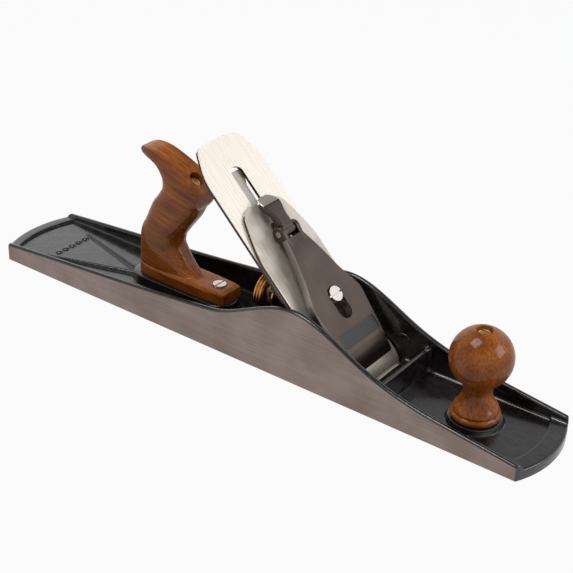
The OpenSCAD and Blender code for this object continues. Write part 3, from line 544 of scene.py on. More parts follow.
def bright_blade(name, colour):
    """Tool steel ground bright: nearly white, faint lengthwise scratches and a few brown freckles of rust."""
    made, tree, shader = finish_of(name, {"Metallic": 0.45})
    lines = speckle(tree, (30.0, 0.5, 0.5), 3.0, 0.6, BED_TURN)
    rust = speckle(tree, 1.6, 4.0, 0.7)
    body = ramp(tree, lines, [(0.3, "#e6ded4"), (0.65, colour)])
    freckle = ramp(tree, rust, [(0.27, "#8a5a34"), (0.33, "#ffffff")])
    feed(tree, shader, blend_of(tree, "MULTIPLY", 0.6, body, freckle), span(tree, lines, 0.24, 0.36))
    return made


def cap_iron_steel(name, colour):
    """Rolled steel with a dull shine: soft grey shading and scattered rust specks."""
    made, tree, shader = finish_of(name, {"Metallic": 0.4})
    lines = speckle(tree, (25.0, 0.6, 0.6), 3.0, 0.6, BED_TURN)
    clouds = speckle(tree, 18.0, 2.0)
    rust = speckle(tree, 1.3, 4.0, 0.7)
    body = ramp(tree, lines, [(0.3, "#bdb5ab"), (0.65, colour)])
    cloud = ramp(tree, clouds, [(0.32, "#d2ccc4"), (0.62, "#ffffff")])
    freckle = ramp(tree, rust, [(0.3, "#7a4a2a"), (0.37, "#ffffff")])
    tint = blend_of(tree, "MULTIPLY", 0.7, body, cloud)
    feed(tree, shader, blend_of(tree, "MULTIPLY", 0.7, tint, freckle), span(tree, lines, 0.26, 0.4))
    return made


def background_ray(tree):
    """1 where the ray comes from the camera, a mirror or a glass, which all see the white background."""
    path = node(tree, "ShaderNodeLightPath").outputs
    seen = path["Is Camera Ray"]
    for other in ("Is Glossy Ray", "Is Transmission Ray"):
        seen = node(tree, "ShaderNodeMath", links={0: seen, 1: path[other]}, operation="MAXIMUM").outputs[0]
    return seen


def white_floor(name, colour):
    """Matt white paper. Camera rays see most of it as plain white, so only a faint shadow stays."""
    made = bpy.data.materials.new(name)
    tree = empty_tree(made)
    seen = background_ray(tree)
    share = node(tree, "ShaderNodeMath", {1: PLAIN_SHARE}, {0: seen}, operation="MULTIPLY").outputs[0]
    paper = node(tree, "ShaderNodeBsdfDiffuse", {"Color": linear(colour)})
    white = node(tree, "ShaderNodeEmission", {"Color": (1, 1, 1, 1), "Strength": 1.0})
    both = node(tree, "ShaderNodeMixShader", links={0: share, 1: paper.outputs[0], 2: white.outputs[0]})
    node(tree, "ShaderNodeOutputMaterial", links={"Surface": both.outputs[0]})
    return made


# shapes of the pieces

# The cheeks' stations: x, height and slope
CHEEK_STATIONS = np.array([
    [SOLE_REAR, 12.9, 0.095], [-20.0, 31.6, 0.12], [50.0, 55.4, 0.0],
    [105.0, 34.2, -0.45], [165.0, 18.4, -0.13], [228.5, 10.2, -0.13]])
HEEL_BOW, HEEL_LIP, HEEL_STEP = 8.25, 2.0, SOLE_REAR + 8.0
TOE_BOW, TOE_LIP, TOE_STEP = 9.0, 1.9, SOLE_FRONT - 12.5
SIDE_CHAMFER = 0.6
END_ROUND = 1.0


def cheek_top(x):
    """Height of the cheeks at x: cubics between stations that each have a height and a slope."""
    at, height, slope = CHEEK_STATIONS.T
    k = np.clip(np.searchsorted(at, x, side="right") - 1, 0, len(at) - 2)
    run = at[k + 1] - at[k]
    share = np.clip((x - at[k]) / run, 0, 1)
    return hermite(height[k], height[k + 1], slope[k], slope[k + 1], run, share)


def bow(y, depth):
    """How far a bowed end lies back from its middle at y: the sagitta of a circle through its corners."""
    radius = (HALF_SOLE**2 + depth**2) / (2 * depth)
    return radius - np.sqrt(radius**2 - y**2)


def floor_line(x):
    """Height of the floor along the body: three levels joined by short rises, and a lip at each end."""
    floor = REAR_FLOOR + (THROAT_FLOOR - REAR_FLOOR) * smooth_step(x, MOUTH_X - 1, MOUTH_X)
    floor = floor + (FRONT_FLOOR - THROAT_FLOOR) * smooth_step(x, RIB_X - 0.5, RIB_X + 0.5)
    floor = floor + HEEL_LIP * (1 - smooth_step(x, HEEL_STEP - 0.2, HEEL_STEP + 0.5))
    return floor + TOE_LIP * smooth_step(x, TOE_STEP - 0.5, TOE_STEP + 0.2)


def casting_shell(rim, fillet):
    """The body as one section carried from heel to toe. The section goes up the ground side, over a half
    round rim, down the inner wall, round a quarter fillet and across the floor, then the same on the far
    side and back under the sole. Its heights are weights times the cheek's and the floor's height. Near
    each end x is pushed in by the bow of the end. Returns the shell and a material index for each face:
    1 on the ground sides and sole."""
    theta = np.linspace(0, np.pi, 11)
    drop = np.linspace(0, -np.pi / 2, 8)
    flat = np.linspace(WALL_Y - fillet, 0, 12)[1:]
    rim_y, fillet_y = WALL_Y + CHEEK / 2 * (1 + np.cos(theta)), WALL_Y - fillet + fillet * np.cos(drop)
    half_y = np.concatenate([[HALF_SOLE] * 2, rim_y, fillet_y, flat])
    cheek = np.concatenate([[0.0, 0.5], np.ones(11), np.zeros(8 + len(flat))])
    floor_w = np.concatenate([np.zeros(13), np.ones(8 + len(flat))])
    lift = np.concatenate([[SIDE_CHAMFER, SIDE_CHAMFER / 2], np.zeros(19 + len(flat))])
    rim_w = np.concatenate([[0.0, -0.5], np.sin(theta) - 1, np.zeros(8 + len(flat))])
    fillet_w = np.concatenate([np.zeros(13), 1 + np.sin(drop), np.zeros(len(flat))])

    def both(a, sign=1):
        return np.concatenate([a, sign * a[::-1][1:]])

    top_y, cheek, floor_w, lift, rim_w, fillet_w = (
        both(half_y, -1), both(cheek), both(floor_w), both(lift), both(rim_w), both(fillet_w))
    ends = np.array([0.0, 0.06, 0.25, 0.55, END_ROUND])
    u = stations(
        SOLE_REAR, SOLE_FRONT, 170, SOLE_REAR + ends, SOLE_FRONT - ends,
        np.linspace(HEEL_STEP - 0.3, HEEL_STEP + 0.6, 7), np.linspace(TOE_STEP - 0.6, TOE_STEP + 0.3, 7),
        np.linspace(MOUTH_X - 1.2, MOUTH_X + 0.2, 6), np.linspace(RIB_X - 0.6, RIB_X + 0.6, 4))
    from_end = np.minimum(u - SOLE_REAR, SOLE_FRONT - u)
    inside = np.clip(END_ROUND - from_end, 0, END_ROUND)
    shrink = END_ROUND - np.sqrt(np.clip(END_ROUND**2 - inside**2, 0, 1))
    side = np.abs(top_y) > HALF_SOLE - 1e-6
    y = np.where(side, top_y - np.sign(top_y) * shrink[:, None], top_y)
    push = bow(y, HEEL_BOW) * (1 - smooth_step(u, SOLE_REAR + 12, SOLE_REAR + 45))[:, None]
    pull = bow(y, TOE_BOW) * smooth_step(u, SOLE_FRONT - 50, SOLE_FRONT - 16)[:, None]
    x = u[:, None] + push - pull
    top, floor = cheek_top(x), floor_line(u)[:, None]
    rim_h = np.minimum(rim, 0.6 * (top - floor))
    fillet_h = np.clip(top - rim_h - floor, 0.05, fillet)
    z = cheek * top + floor_w * floor + lift + rim_w * rim_h + fillet_w * fillet_h
    z = z - np.where(cheek + floor_w > 0.9, 1, 0) * shrink[:, None]
    limit = HALF_SOLE - SIDE_CHAMFER - shrink[:, None]
    under = np.stack([x[:, ::-1], np.clip(y[:, ::-1], -limit, limit), np.zeros_like(z)], axis=-1)
    grid = np.concatenate([np.stack([x, y, z], axis=-1), under], axis=1)
    shut = np.stack([np.concatenate([x, x[:, ::-1]], 1), np.concatenate([y, y[:, ::-1]], 1),
                     np.zeros((len(u), 2 * z.shape[1]))], axis=-1)
    grid = np.concatenate([shut[:1], grid, shut[-1:]])
    shell = tube(grid, capped=False)
    n = z.shape[1]
    column = np.arange(2 * n)
    bare = (column < 2) | ((column >= n - 3) & (column < 2 * n))
    index = np.tile(bare.astype(np.int32), (grid.shape[0] - 1, 1))
    index[0] = index[-1] = 0
    return shell, index.ravel()


def mouth_cutter():
    """The slot for the iron: a polygon of x and z carried across between the cheeks."""
    ring = np.array([[91.43, -0.6], [98.55, -0.6], [98.55, 1.5], [100.2, 7.6], [98.55, 13.1], [78.2, 13.1]])
    grid = np.stack([np.column_stack([ring[:, 0], np.full(6, y), ring[:, 1]]) for y in (-WALL_Y, WALL_Y)])
    return tube(grid)


def rib_shell():
    """The cross rib: a tapered wall with a round top, whose thickness and height grow by a quarter-round
    law toward its foot and toward the cheeks."""
    y = np.linspace(-WALL_Y - 0.3, WALL_Y + 0.3, 61)[:, None]
    near = np.clip(1 - (WALL_Y - np.abs(y)) / 5.0, 0, 1) ** 2
    up = np.array([0.0, 0.04, 0.1, 0.18, 0.3, 0.6, 1.0])
    base, top_r = FRONT_FLOOR - 1, 1.7
    height = RIB_TOP - top_r + 1.4 * near
    theta = np.linspace(0, np.pi, 9)[1:-1]
    side_z = base + (height - base) * up
    wide = top_r + 0.6 * (1 - up) + 2.2 * np.clip(1 - up / 0.25, 0, 1) ** 2 + 1.6 * near
    arc_x = (top_r + 1.6 * near) * np.cos(theta)
    arc_z = height + top_r * np.sin(theta)
    x = np.concatenate([wide, arc_x, -wide[:, ::-1]], axis=1)
    z = np.concatenate([side_z, arc_z, side_z[:, ::-1]], axis=1)
    return tube(np.stack([RIB_X + x, np.broadcast_to(y, x.shape), z], axis=-1))


def heel_rib_shell(start, goal):
    """A low rib on the floor: half an oval carried along a straight run, rising from nothing at its
    rounded start, with a soft foot."""
    start, goal = np.array(start), np.array(goal)
    run = goal - start
    side = np.array([-run[1], run[0]]) / np.linalg.norm(run)
    share = np.linspace(0, 1, 40)[:, None] ** 1.6
    theta = np.linspace(0, np.pi, 13)
    swell = np.sqrt(np.clip(1 - (1 - np.clip(share / 0.06, 0, 1)) ** 2, 0.01, 1)) * (0.6 + 0.4 * share)
    offset = 2.4 * swell * np.cos(theta) * (1 + 0.35 * np.cos(theta) ** 4)
    z = REAR_FLOOR - 0.25 + 3.1 * swell * np.sin(theta) ** 1.4
    x = start[0] + run[0] * share + side[0] * offset
    y = start[1] + run[1] * share + side[1] * offset
    return tube(np.stack([x, y, z], axis=-1))


def tote_seat_outline():
    """Plan of the tote's seat: its half width over the length is the largest of a straight body, a round
    nose and a round heel."""
    tail, nose, heel_r = -77.9, 13.4, 12.9
    x = tail + (nose - tail) * (1 - np.cos(np.linspace(0, np.pi, 60))) / 2
    body = np.where((x > tail + heel_r) & (x < 0), 13.0, 0)
    front = np.sqrt(np.clip(nose**2 - np.clip(x, 0, None) ** 2, 0, None)) * (x >= 0)
    heel = np.sqrt(np.clip(heel_r**2 - (x - tail - heel_r) ** 2, 0, None)) * (x <= tail + heel_r)
    half = np.maximum.reduce([body, front, heel])
    outline = np.concatenate([np.stack([x, -half], 1)[:-1], np.stack([x, half], 1)[:0:-1]])
    return outline[np.r_[True, np.linalg.norm(np.diff(outline, axis=0), axis=1) > 0.05]]


def tilted(shell, angle):
    """A shell turned about the y axis: its z axis leans toward x by the angle."""
    points, faces = shell
    c, s = np.cos(angle), np.sin(angle)
    x, y, z = points.T
    return np.stack([x * c + z * s, y, z * c - x * s], axis=1), faces


# The tote's rod leans back from its start (x, z) and rises to its end. Nuts are sunk in round seats.
ROD_TILT = np.radians(27)
ROD_RISE = 97.5
ROD_START = (TOTE_X - 21.3 - ROD_RISE * np.tan(ROD_TILT), 6.5)
NUT_SINK = 6.0
NUT_SEAT = ROD_RISE / np.cos(ROD_TILT) - NUT_SINK
NUT_HOLE = 5.3
TOE_HOLE, TOE_SEAT_Z = 5.1, 26.4
KNOB_TOP = 63.4

# Rear and front edge of the tote's rings: rear x, rear z, front x, front z, share of thickness
TOTE_RINGS = np.array([
    [-73, 0, 11, 0, 0.92], [-73, 2, 11.3, 2, 0.97], [-72.6, 7.5, 11, 7.5, 0.97],
    [-72.3, 9, 9, 9.6, 0.9], [-72, 10.2, -17, 10.2, 0.87], [-71.8, 12, -20, 11.6, 0.88],
    [-71.5, 18, -26, 16.5, 0.9], [-70.7, 25, -31.8, 24.2, 0.92], [-69.6, 33, -35.4, 31, 0.95],
    [-67.5, 40, -34.4, 36.5, 0.98], [-64, 46, -30.5, 42.5, 1], [-60.5, 54, -24, 51, 1],
    [-57, 61, -18.8, 58, 1], [-51.5, 68.5, -15.5, 64.5, 1], [-48, 75.5, -13, 71, 0.98],
    [-48.5, 80.5, -12.8, 77, 0.95], [-50.2, 84, -16, 82, 0.9], [-55, 89.5, -20, 86.6, 0.84],
    [-59.5, 91.8, -27, 91, 0.79], [-64, 93.5, -38, 96.4, 0.76], [-67.3, 95.2, -47, 99.8, 0.7],
    [-68.5, 97, -54, 101.5, 0.6], [-67.3, 99, -60, 102, 0.42], [-66, 100.3, -63.5, 101.6, 0.16]])
# Rings that the horn's planed face runs over, its spare wood, and the plane's way round the tip
HORN_SPAN = (12.6, 23.0)
HORN_SPARE = 10.0
HORN_CUT = 16.0
TIP_LINE = [(-66.3, 100.5), (-69, 97.5), (-72, 92)]
TIP_OUT = [(-0.5, 0.87), (-0.8, 0.6), (-1, 0.1)]
FLAT_COLUMN = 10


def tote_edges(at):
    """The rings' rear x, rear z, front x, front z and share at places along the tote."""
    place = np.arange(len(TOTE_RINGS), dtype=float)
    return [flowing(np.stack([place, TOTE_RINGS[:, k]], 1), at) for k in range(5)]


def horn_outward(at):
    """The way out of the horn's front line at each place: the line's direction turned by a right angle."""
    low, high = tote_edges(at - 0.05), tote_edges(at + 0.05)
    way = np.stack([high[3] - low[3], low[2] - high[2]], axis=1)
    return way / np.linalg.norm(way, axis=1, keepdims=True)


def tote_shell(thickness, square):
    """The tote as rings from its foot to its horn. The ring's edges flow from ring to ring; each ring is
    an oval whose cosine and sine are raised to a power below one, which squares it up. The toe's front
    is cut flat at one column of points. The horn's front stands out by some spare wood, which the
    horn's cutter takes off again."""
    at = np.linspace(0, len(TOTE_RINGS) - 1, 140)
    rear_x, rear_z, front_x, front_z, share = tote_edges(at)
    start, end = HORN_SPAN
    spare = HORN_SPARE * smooth_step(at, start + 0.4, start + 2.4)
    out = horn_outward(np.clip(at, start, end - 0.1))
    front_x, front_z = front_x + spare * out[:, 0], front_z + spare * out[:, 1]
    edges = (rear_x, rear_z, front_x, front_z, share)
    rear_x, rear_z, front_x, front_z, share = (edge[:, None] for edge in edges)
    turn = np.linspace(0, 2 * np.pi, 72, endpoint=False)
    c = np.sign(np.cos(turn)) * np.abs(np.cos(turn)) ** square
    s = np.sign(np.sin(turn)) * np.abs(np.sin(turn)) ** square
    ridge = c[FLAT_COLUMN]
    flat = 1 - smooth_step(at, 3.0, 3.9)[:, None]
    c = c + flat * np.where(c > 0, np.minimum(c, ridge) / ridge - c, 0)
    x = (rear_x + front_x) / 2 + c * (front_x - rear_x) / 2
    z = (rear_z + front_z) / 2 + c * (front_z - rear_z) / 2
    return moved(tube(np.stack([x, s * share * thickness / 2, z], axis=-1)), TOTE_X, 0, TOTE_Z)


def horn_cutter():
    """What is planed off the horn: a band beyond its front line, carried across the tote."""
    at = np.linspace(*HORN_SPAN, 60) - 0.06
    edges = tote_edges(at)
    line = np.concatenate([np.stack([edges[2], edges[3]], axis=1), TIP_LINE])
    out = np.concatenate([horn_outward(at), TIP_OUT])
    band = np.concatenate([line, (line + HORN_CUT * out)[::-1]])
    return moved(swapped(prism(band, -15, 15), [0, 2, 1]), TOTE_X, 0, TOTE_Z)


def nut_shell():
    """A handle's nut: a short cylinder with a low dome."""
    return revolve([(0, 0), (4.9, 0), (4.9, 3.6), (4.5, 4.2), (3.2, 4.8), (1.6, 5.15), (0, 5.2)], 48)


def knob_shell():
    """The knob: a turned foot with a bead, a waist and a ball, revolved, with a sunk seat for its nut."""
    ball, centre, top = 20.7, 43.4, KNOB_TOP
    angle = np.radians(np.arange(-50, 71, 8))
    outer = [(14.9, 0), (16.2, 1), (16.5, 2.4), (16.1, 3.8), (15.0, 4.8), (15.3, 5.8), (14.7, 7.4),
             (12.6, 10.6), (10.7, 14.2), (9.7, 17.4), (9.4, 19.7), (9.9, 22.2), (11.0, 24.6)]
    outer += list(zip(ball * np.cos(angle), centre + ball * np.sin(angle)))
    outer.append((ball * np.cos(np.radians(75)) + 0.1, top))
    seat = [(NUT_HOLE, top - 0.2), (NUT_HOLE, top - NUT_SINK), (0, top - NUT_SINK)]
    path = np.concatenate([[(0, 0), (13.5, 0)], along(outer, 130), seat])
    return moved(revolve(path), KNOB_X, 0, KNOB_Z)


def wheel_shell():
    """The depth wheel: a closed profile revolved round x. Its rim has three rounded ridges, whose depth
    follows the fourth power of a cosine."""
    rim, ridges = 7, 3
    u = np.linspace(0, rim, 43)
    ridge = np.stack([WHEEL_R - 0.9 * np.cos(ridges * np.pi * u / rim) ** 4, u], axis=1)
    profile = np.concatenate(
        [[(3.05, 0), (8.5, 0), (9.2, 0.5), (11.8, 0.5), (12.5, 0), (13.2, 0)], ridge,
         [(13.2, 7), (6.9, 7), (6.4, 7.4), (6.4, 11.0), (6.9, 11.4), (8.7, 11.4), (9, 11.7), (9, 12.7),
          (8.7, 13.0), (3.05, 13.0)]])
    return moved(swapped(revolve(profile, 96, closed=True), [2, 0, 1]), WHEEL_REAR, 0, WHEEL_Z)


def face(points):
    """A face height that flows along s and is level across."""
    return lambda s, y: flowing(points, s) + 0 * y


IRON_SLOT = (30, 168.9)
CAP_HOLE_S, YOKE_SLOT, CAP_SCREW_S = 65.25, (75.9, 80.1), 46


def blade_shell(edge):
    """The cutting iron: a flat plate with a ground bevel, a tapered top and a slightly crowned end."""
    low_end, top, bevel, crown = 0.42, 195.6, np.radians(25), 1.4
    s = stations(low_end, top, 90, np.linspace(low_end, 6, 8), np.linspace(165, top, 24))
    half = flowing([(low_end, BLADE_HALF), (168, BLADE_HALF), (192, 22.55), (194.6, 20.6), (top, 19.0)], s)

    def below(s, y):
        return -np.minimum(IRON_T, np.clip(s - 0.38, 0, None) * np.tan(bevel)) + 0 * y

    points, faces = slab(s, half, below, face([(low_end, 0), (top, 0)]), edge)
    push = crown * (1 - (points[:, 1] / 19.65) ** 2) * smooth_step(points[:, 0], 180, top)
    points[:, 0] += np.clip(push, -crown, crown)
    return on_bed((points, faces))


def cap_iron_shell(edge):
    """The cap iron: a plate with a round top, and a hump over its curled lower end."""
    low_end, top = 1.5, 145
    s = stations(low_end, top, 90, np.linspace(low_end, 28, 40), np.linspace(134, top, 20))
    half = flowing([(low_end, CAP_HALF), (106, CAP_HALF), (110, 29.6), (136, 22.3), (139, 21), (142, 18.4),
                    (144, 15.2), (top, 12)], s)
    low = face([(low_end, 0), (6, 1.6), (12.5, 2.5), (18.5, 1.4), (25, 0), (top, 0)])
    high = face([(low_end, 0.2), (5, 2.9), (9, 4.3), (12.5, 4.8), (16.5, 4.8), (20.5, 4.1),
                 (27, 2.3), (top, 2.3)])
    return on_bed(slab(s, half, low, high, edge))


def cam_shell():
    """The cam lever's thumb piece: narrow at the pin, swelling to a rounded tip."""
    s = stations(118.5, 147, 50, np.linspace(143, 147, 12))
    half = flowing([(118.5, 5.5), (128, 5.5), (132, 6.0), (136, 7.7), (140, 8.5), (143, 7.9),
                    (145.6, 6.0), (147, 3.4)], s)
    high = face([(118.5, 12.7), (122, 13), (131, 12.6), (138, 11.6), (140.5, 10.9), (141.2, 10.6),
                 (147, 7.4)])
    low = face([(118.5, 8.8), (125, 7.3), (132, 7.6), (141, 6.2), (146, 5.9), (147, 6.6)])
    return on_bed(slab(s, half, low, high, 0.8))


# The frog's seat and the guide rib that stands on it: ends along x, half widths and top
FROG_SEAT = (34, 84)
SEAT_HALF = 27
GUIDE = (39.5, 58)
GUIDE_HALF, GUIDE_TOP = 6, 19.5
BEAD_X, BEAD_PITCH, BEADS = -186.5, 7.0, 5


def boss_shell():
    """The low oval boss on the far cheek."""
    oval = circle(5.0) * np.array([1.25, 0.8])
    flat = swapped(loft(oval, rounded_levels(0, 1.0, 0.4, 0.5)), [0, 2, 1])
    return moved(mirrored(moved(flat, 96, 0, 21.6)), 0, WALL_Y + 0.35)


# The lever cap's upper face, lower face and half width along the bed, and its sloped shoulders
LEVER_TOP = [(13.2, 6.5), (16.5, 8.6), (20, 11), (25, 13.1), (30, 14), (95, 14), (113.4, 12.5)]
LEVER_LOW = [(13.2, 4.95), (18, 4.95), (24, 7), (31, 8), (113.4, 8)]
LEVER_HALF = [(13.2, 23.3), (14.2, 25.0), (16.2, LEVER_SIDE), (60, LEVER_SIDE), (66, 24.2), (73, 21.4),
              (82, 17.8), (92, 15), (100, 12.6), (108, 10.4), (113.4, 9.0)]
LEVER_FACE = 14.0
SHOULDER_S, SHOULDER_LEAN, SHOULDER_FALL = 62.0, 0.1619, 1.0129
EAR_R = 5.2

# The lever cap's keyhole and its slot, and the panel sunk in its face
KEYHOLE_S, KEYHOLE_R, KEY_SLOT_R, HEAD_R = 54, 6.25, 4.3, 6.2
PANEL_LOW, PANEL_HIGH, PANEL_HALF, PANEL_CORNER = 31, 41.5, 19.75, 1.4
PANEL_DEPTH = 0.6


def shoulder_y(s):
    """Where the sloped shoulder of the lever cap starts: it runs in from the side below a station."""
    return LEVER_SIDE - np.clip(SHOULDER_S - s, 0, None) * SHOULDER_LEAN / SHOULDER_FALL


def lever_face(s, y):
    """The lever cap's face: its profile along s, cut by the two shoulder planes."""
    level = flowing(LEVER_TOP, s)
    slope = LEVER_FACE - SHOULDER_LEAN * (SHOULDER_S - s) - SHOULDER_FALL * (np.abs(y) - LEVER_SIDE)
    return np.where(s < SHOULDER_S, np.minimum(level, slope), level)


def panel_outline(inset):
    """The outline of the bare name panel, drawn in by an inset."""
    half = PANEL_HALF - inset
    return rectangle(PANEL_LOW + inset, PANEL_HIGH - inset, -half, half, PANEL_CORNER - inset)


def ear_shell(side):
    """One ear for the cam's pin: an outline with a round end, lofted across."""
    angle = np.radians(np.linspace(-100, 95, 24))
    arc = np.stack([CAM_PIN[0] + EAR_R * np.cos(angle), CAM_PIN[1] + EAR_R * np.sin(angle)], axis=1)
    outline = np.concatenate([arc, [(113, 12.9), (104, 13.2), (104, 7.0)]])
    shell = swapped(loft(outline, rounded_levels(5.8, 9.0, 0.5)), [0, 2, 1])
    return shell if side > 0 else mirrored(shell)


# settings


def length(label, text, default, low, high):
    """A size property in millimetres."""
    return bpy.props.FloatProperty(name=label, description=text + ", in millimetres", default=default,
                                   min=low, max=high)


def colour(label, text, default):
    """A colour property, given as sRGB hex."""
    return bpy.props.FloatVectorProperty(name=label, description=text, subtype="COLOR", size=3, min=0,
                                         max=1, default=linear(default)[:3])


class CastingLooks(bpy.types.PropertyGroup):
    """Looks of the body and the frog"""

    rim: length("Rim height", "Height of the rounded rim on the cheeks", 1.5, 0.5, 2.0)
    fillet: length("Floor fillet", "Radius where the cheeks meet the floor", 2.2, 1.0, 6.0)
    japan: colour("Japan", "Colour of the black japanning", "#0e0c0c")
    gloss: bpy.props.FloatProperty(name="Gloss", description="Roughness of the japanning", default=0.16,
                                   min=0.02, max=0.6, subtype="FACTOR")
    bare: colour("Ground iron", "Colour of the ground sides and sole", "#8d7f79")


class IronLooks(bpy.types.PropertyGroup):
    """Looks of the irons, the lever cap and the small metal pieces"""

    edge: length("Edge rounding", "Rounding along the long edges of the plates", 0.3, 0.05, 0.6)
    blade: colour("Blade", "Colour of the cutting iron", "#f3ebe0")
    cap: colour("Cap iron", "Colour of the cap iron", "#cfc8bf")
    lever: colour("Lever cap", "Colour of the lever cap", "#584f4a")
    brass: colour("Brass", "Colour of the depth wheel", "#c98a4a")


class WoodLooks(bpy.types.PropertyGroup):
    """Looks of the tote and the knob"""

    thickness: length("Tote thickness", "Thickness of the tote's grip", 24.4, 20.0, 27.0)
    square: bpy.props.FloatProperty(name="Squareness", description="Power that squares up the tote's rings",
                                    default=0.72, min=0.5, max=1.0)
    light: colour("Light wood", "Colour of the light growth bands", "#935116")
    dark: colour("Dark wood", "Colour of the dark growth bands", "#6f360d")
    grain: length("Grain length", "Length of one growth band along the grain", 60.0, 20.0, 150.0)


class StageLooks(bpy.types.PropertyGroup):
    """Looks of the floor and the light"""

    floor: colour("Floor", "Colour of the floor", "#a8a7a5")
    light: bpy.props.FloatProperty(name="Lamp power", description="Power of the softboxes in watts",
                                   default=9.0, min=0.0, max=60.0)
    sky: bpy.props.FloatProperty(name="Sky", description="Strength of the light from all round",
                                 default=0.34, min=0.0, max=2.0)


# stage

# The photo's camera: its place in metres, its angles, and its focal length in pixels
CAMERA_PLACE = (0.48252, -0.63508, 0.49448)
AZIMUTH, ELEVATION, ROLL = np.radians([36.08, 29.61, 1.73])
FOCAL_PIXELS = 1327.66
FLOOR = 20.0

# Softboxes: name, place, side, and share of the lamp power
LAMPS = (
    ("top softbox", (-0.19, -0.32, 1.14), 0.6, 0.95),
    ("right softbox", (0.99, 0.31, 0.60), 0.55, 0.6),
    ("far softbox", (0.55, 0.9, 0.75), 0.8, 0.12),
    ("left softbox", (-1.05, 0.8, 0.6), 0.75, 0.08),
)

# Mirror rays lose this share of the white between two heights of the sky, so the metal shows its form
SKY_LOSS, LOSS_FROM, LOSS_TO = 0.75, 0.42, 0.72


def standing(axes, place):
    """A matrix with three axes for its columns, at a place."""
    matrix = np.eye(4)
    matrix[:3, :3] = np.stack(axes, axis=1)
    matrix[:3, 3] = place
    return Matrix(matrix.tolist())


def camera_of_photo():
    """The camera fitted to the photo, made from its angles: it looks along the opposite of back."""
    flat = np.cos(ELEVATION)
    back = np.array([np.sin(AZIMUTH) * flat, -np.cos(AZIMUTH) * flat, np.sin(ELEVATION)])
    right = np.cross(-back, [0, 0, 1])
    right /= np.linalg.norm(right)
    up = np.cross(right, -back)
    x_axis = right * np.cos(ROLL) + up * np.sin(ROLL)
    y_axis = up * np.cos(ROLL) - right * np.sin(ROLL)
    lens = bpy.data.cameras.new("camera")
    lens.sensor_width = SENSOR
    lens.lens = FOCAL_PIXELS / IMAGE_SIDE * SENSOR
    lens.clip_start = 0.01
    lens.clip_end = 50
    camera = linked("camera", lens)
    camera.matrix_world = standing([x_axis, y_axis, back], CAMERA_PLACE)
    return camera


def studio_world(strength):
    """A soft grey sky for the light, seen as plain white by the camera. Mirror rays see it darker high
    up."""
    world = bpy.data.worlds.new("studio")
    tree = empty_tree(world)
    soft = node(tree, "ShaderNodeBackground", {"Color": linear("#f4f2ef"), "Strength": strength})
    aim = node(tree, "ShaderNodeTexCoord").outputs["Generated"]
    height = node(tree, "ShaderNodeSeparateXYZ", links={0: aim}).outputs["Z"]
    values = {"From Min": LOSS_FROM, "From Max": LOSS_TO, "To Min": 0.0, "To Max": -SKY_LOSS}
    loss = node(tree, "ShaderNodeMapRange", values, {"Value": height}).outputs[0]
    mirror = node(tree, "ShaderNodeLightPath").outputs["Is Glossy Ray"]
    bright = node(tree, "ShaderNodeMath", {2: 1.0}, {0: mirror, 1: loss}, operation="MULTIPLY_ADD")
    white = node(tree, "ShaderNodeBackground", {"Color": (1, 1, 1, 1)}, {"Strength": bright.outputs[0]})
    sides = {0: background_ray(tree), 1: soft.outputs[0], 2: white.outputs[0]}
    both = node(tree, "ShaderNodeMixShader", links=sides)
    node(tree, "ShaderNodeOutputWorld", links={"Surface": both.outputs[0]})
    return world


# operators


class DressBody(bpy.types.Operator):
    """Builds the body casting with its rims, fillets, rib, seats and beads"""

    bl_idname = "plane.dress_body"
    bl_label = "Body casting"

    def execute(self, context):
        looks = context.scene.casting_looks
        shell, index = casting_shell(looks.rim, looks.fillet)
        slot = mouth_cutter()
        seat_levels = rounded_levels(REAR_FLOOR - 0.4, SEAT_Z, 0.7, 1.6)
        seat = loft(rectangle(*FROG_SEAT, -SEAT_HALF, SEAT_HALF, 1.5), seat_levels)
        notch_half = GUIDE_HALF + 0.6
        notch = prism(rectangle(FROG_SEAT[0] - 4, GUIDE[0], -notch_half, notch_half, 0.5), REAR_FLOOR, 22)
        guide_levels = rounded_levels(REAR_FLOOR, GUIDE_TOP, 0.8)
        guide = loft(rectangle(*GUIDE, -GUIDE_HALF, GUIDE_HALF, 1.0), guide_levels)
        bore_z = middle_mm("frog_adjusting_screw", 2)
        bore = moved(swapped(pillar(2.55, 0, 24, 32), [2, 0, 1]), 37, 0, bore_z)
        meshes = [carved(mesh_of(shell, index), [slot]), carved(mesh_of(seat), [slot, notch]),
                  carved(mesh_of(guide), [bore])]

        tote_seat = loft(tote_seat_outline(), rounded_levels(0, TOTE_Z - REAR_FLOOR, 0.8, 2.2))
        step = [(0, 4.2), (20.1, 4.2), (19.8, 4.95), (18.9, 5.35), (18.4, 6.1), (18.3, 6.9), (18.1, 7.2),
                (18.0, 7.6), (17.9, 8.2), (17.6, 8.75), (17.0, 9.0), (0, 9.0)]
        dome = [(3.2, 9.3), (2.9, 9.8), (2.5, 10.3), (1.8, 10.7), (0.9, 10.88), (0, 10.9), (0, 9.0),
                (3.2, 9.0)]
        shells = [moved(tote_seat, TOTE_X, 0, REAR_FLOOR), moved(revolve(step), KNOB_X), rib_shell(),
                  boss_shell()]
        shells += [moved(revolve(dome, 24), BEAD_X, BEAD_PITCH * (k - BEADS // 2)) for k in range(BEADS)]
        shells += [heel_rib_shell((-198.0, -27), (-115, -1)), heel_rib_shell((-192.5, 21), (-115, 1))]
        meshes += [mesh_of(shell) for shell in shells]
        japan = japanned_iron("japanned cast iron", looks.japan, looks.gloss)
        bare = ground_iron("ground cast iron", looks.bare, (0, 0, 0))
        piece("body", meshes, [japan, bare], "plane", "body_casting")
        return {"FINISHED"}


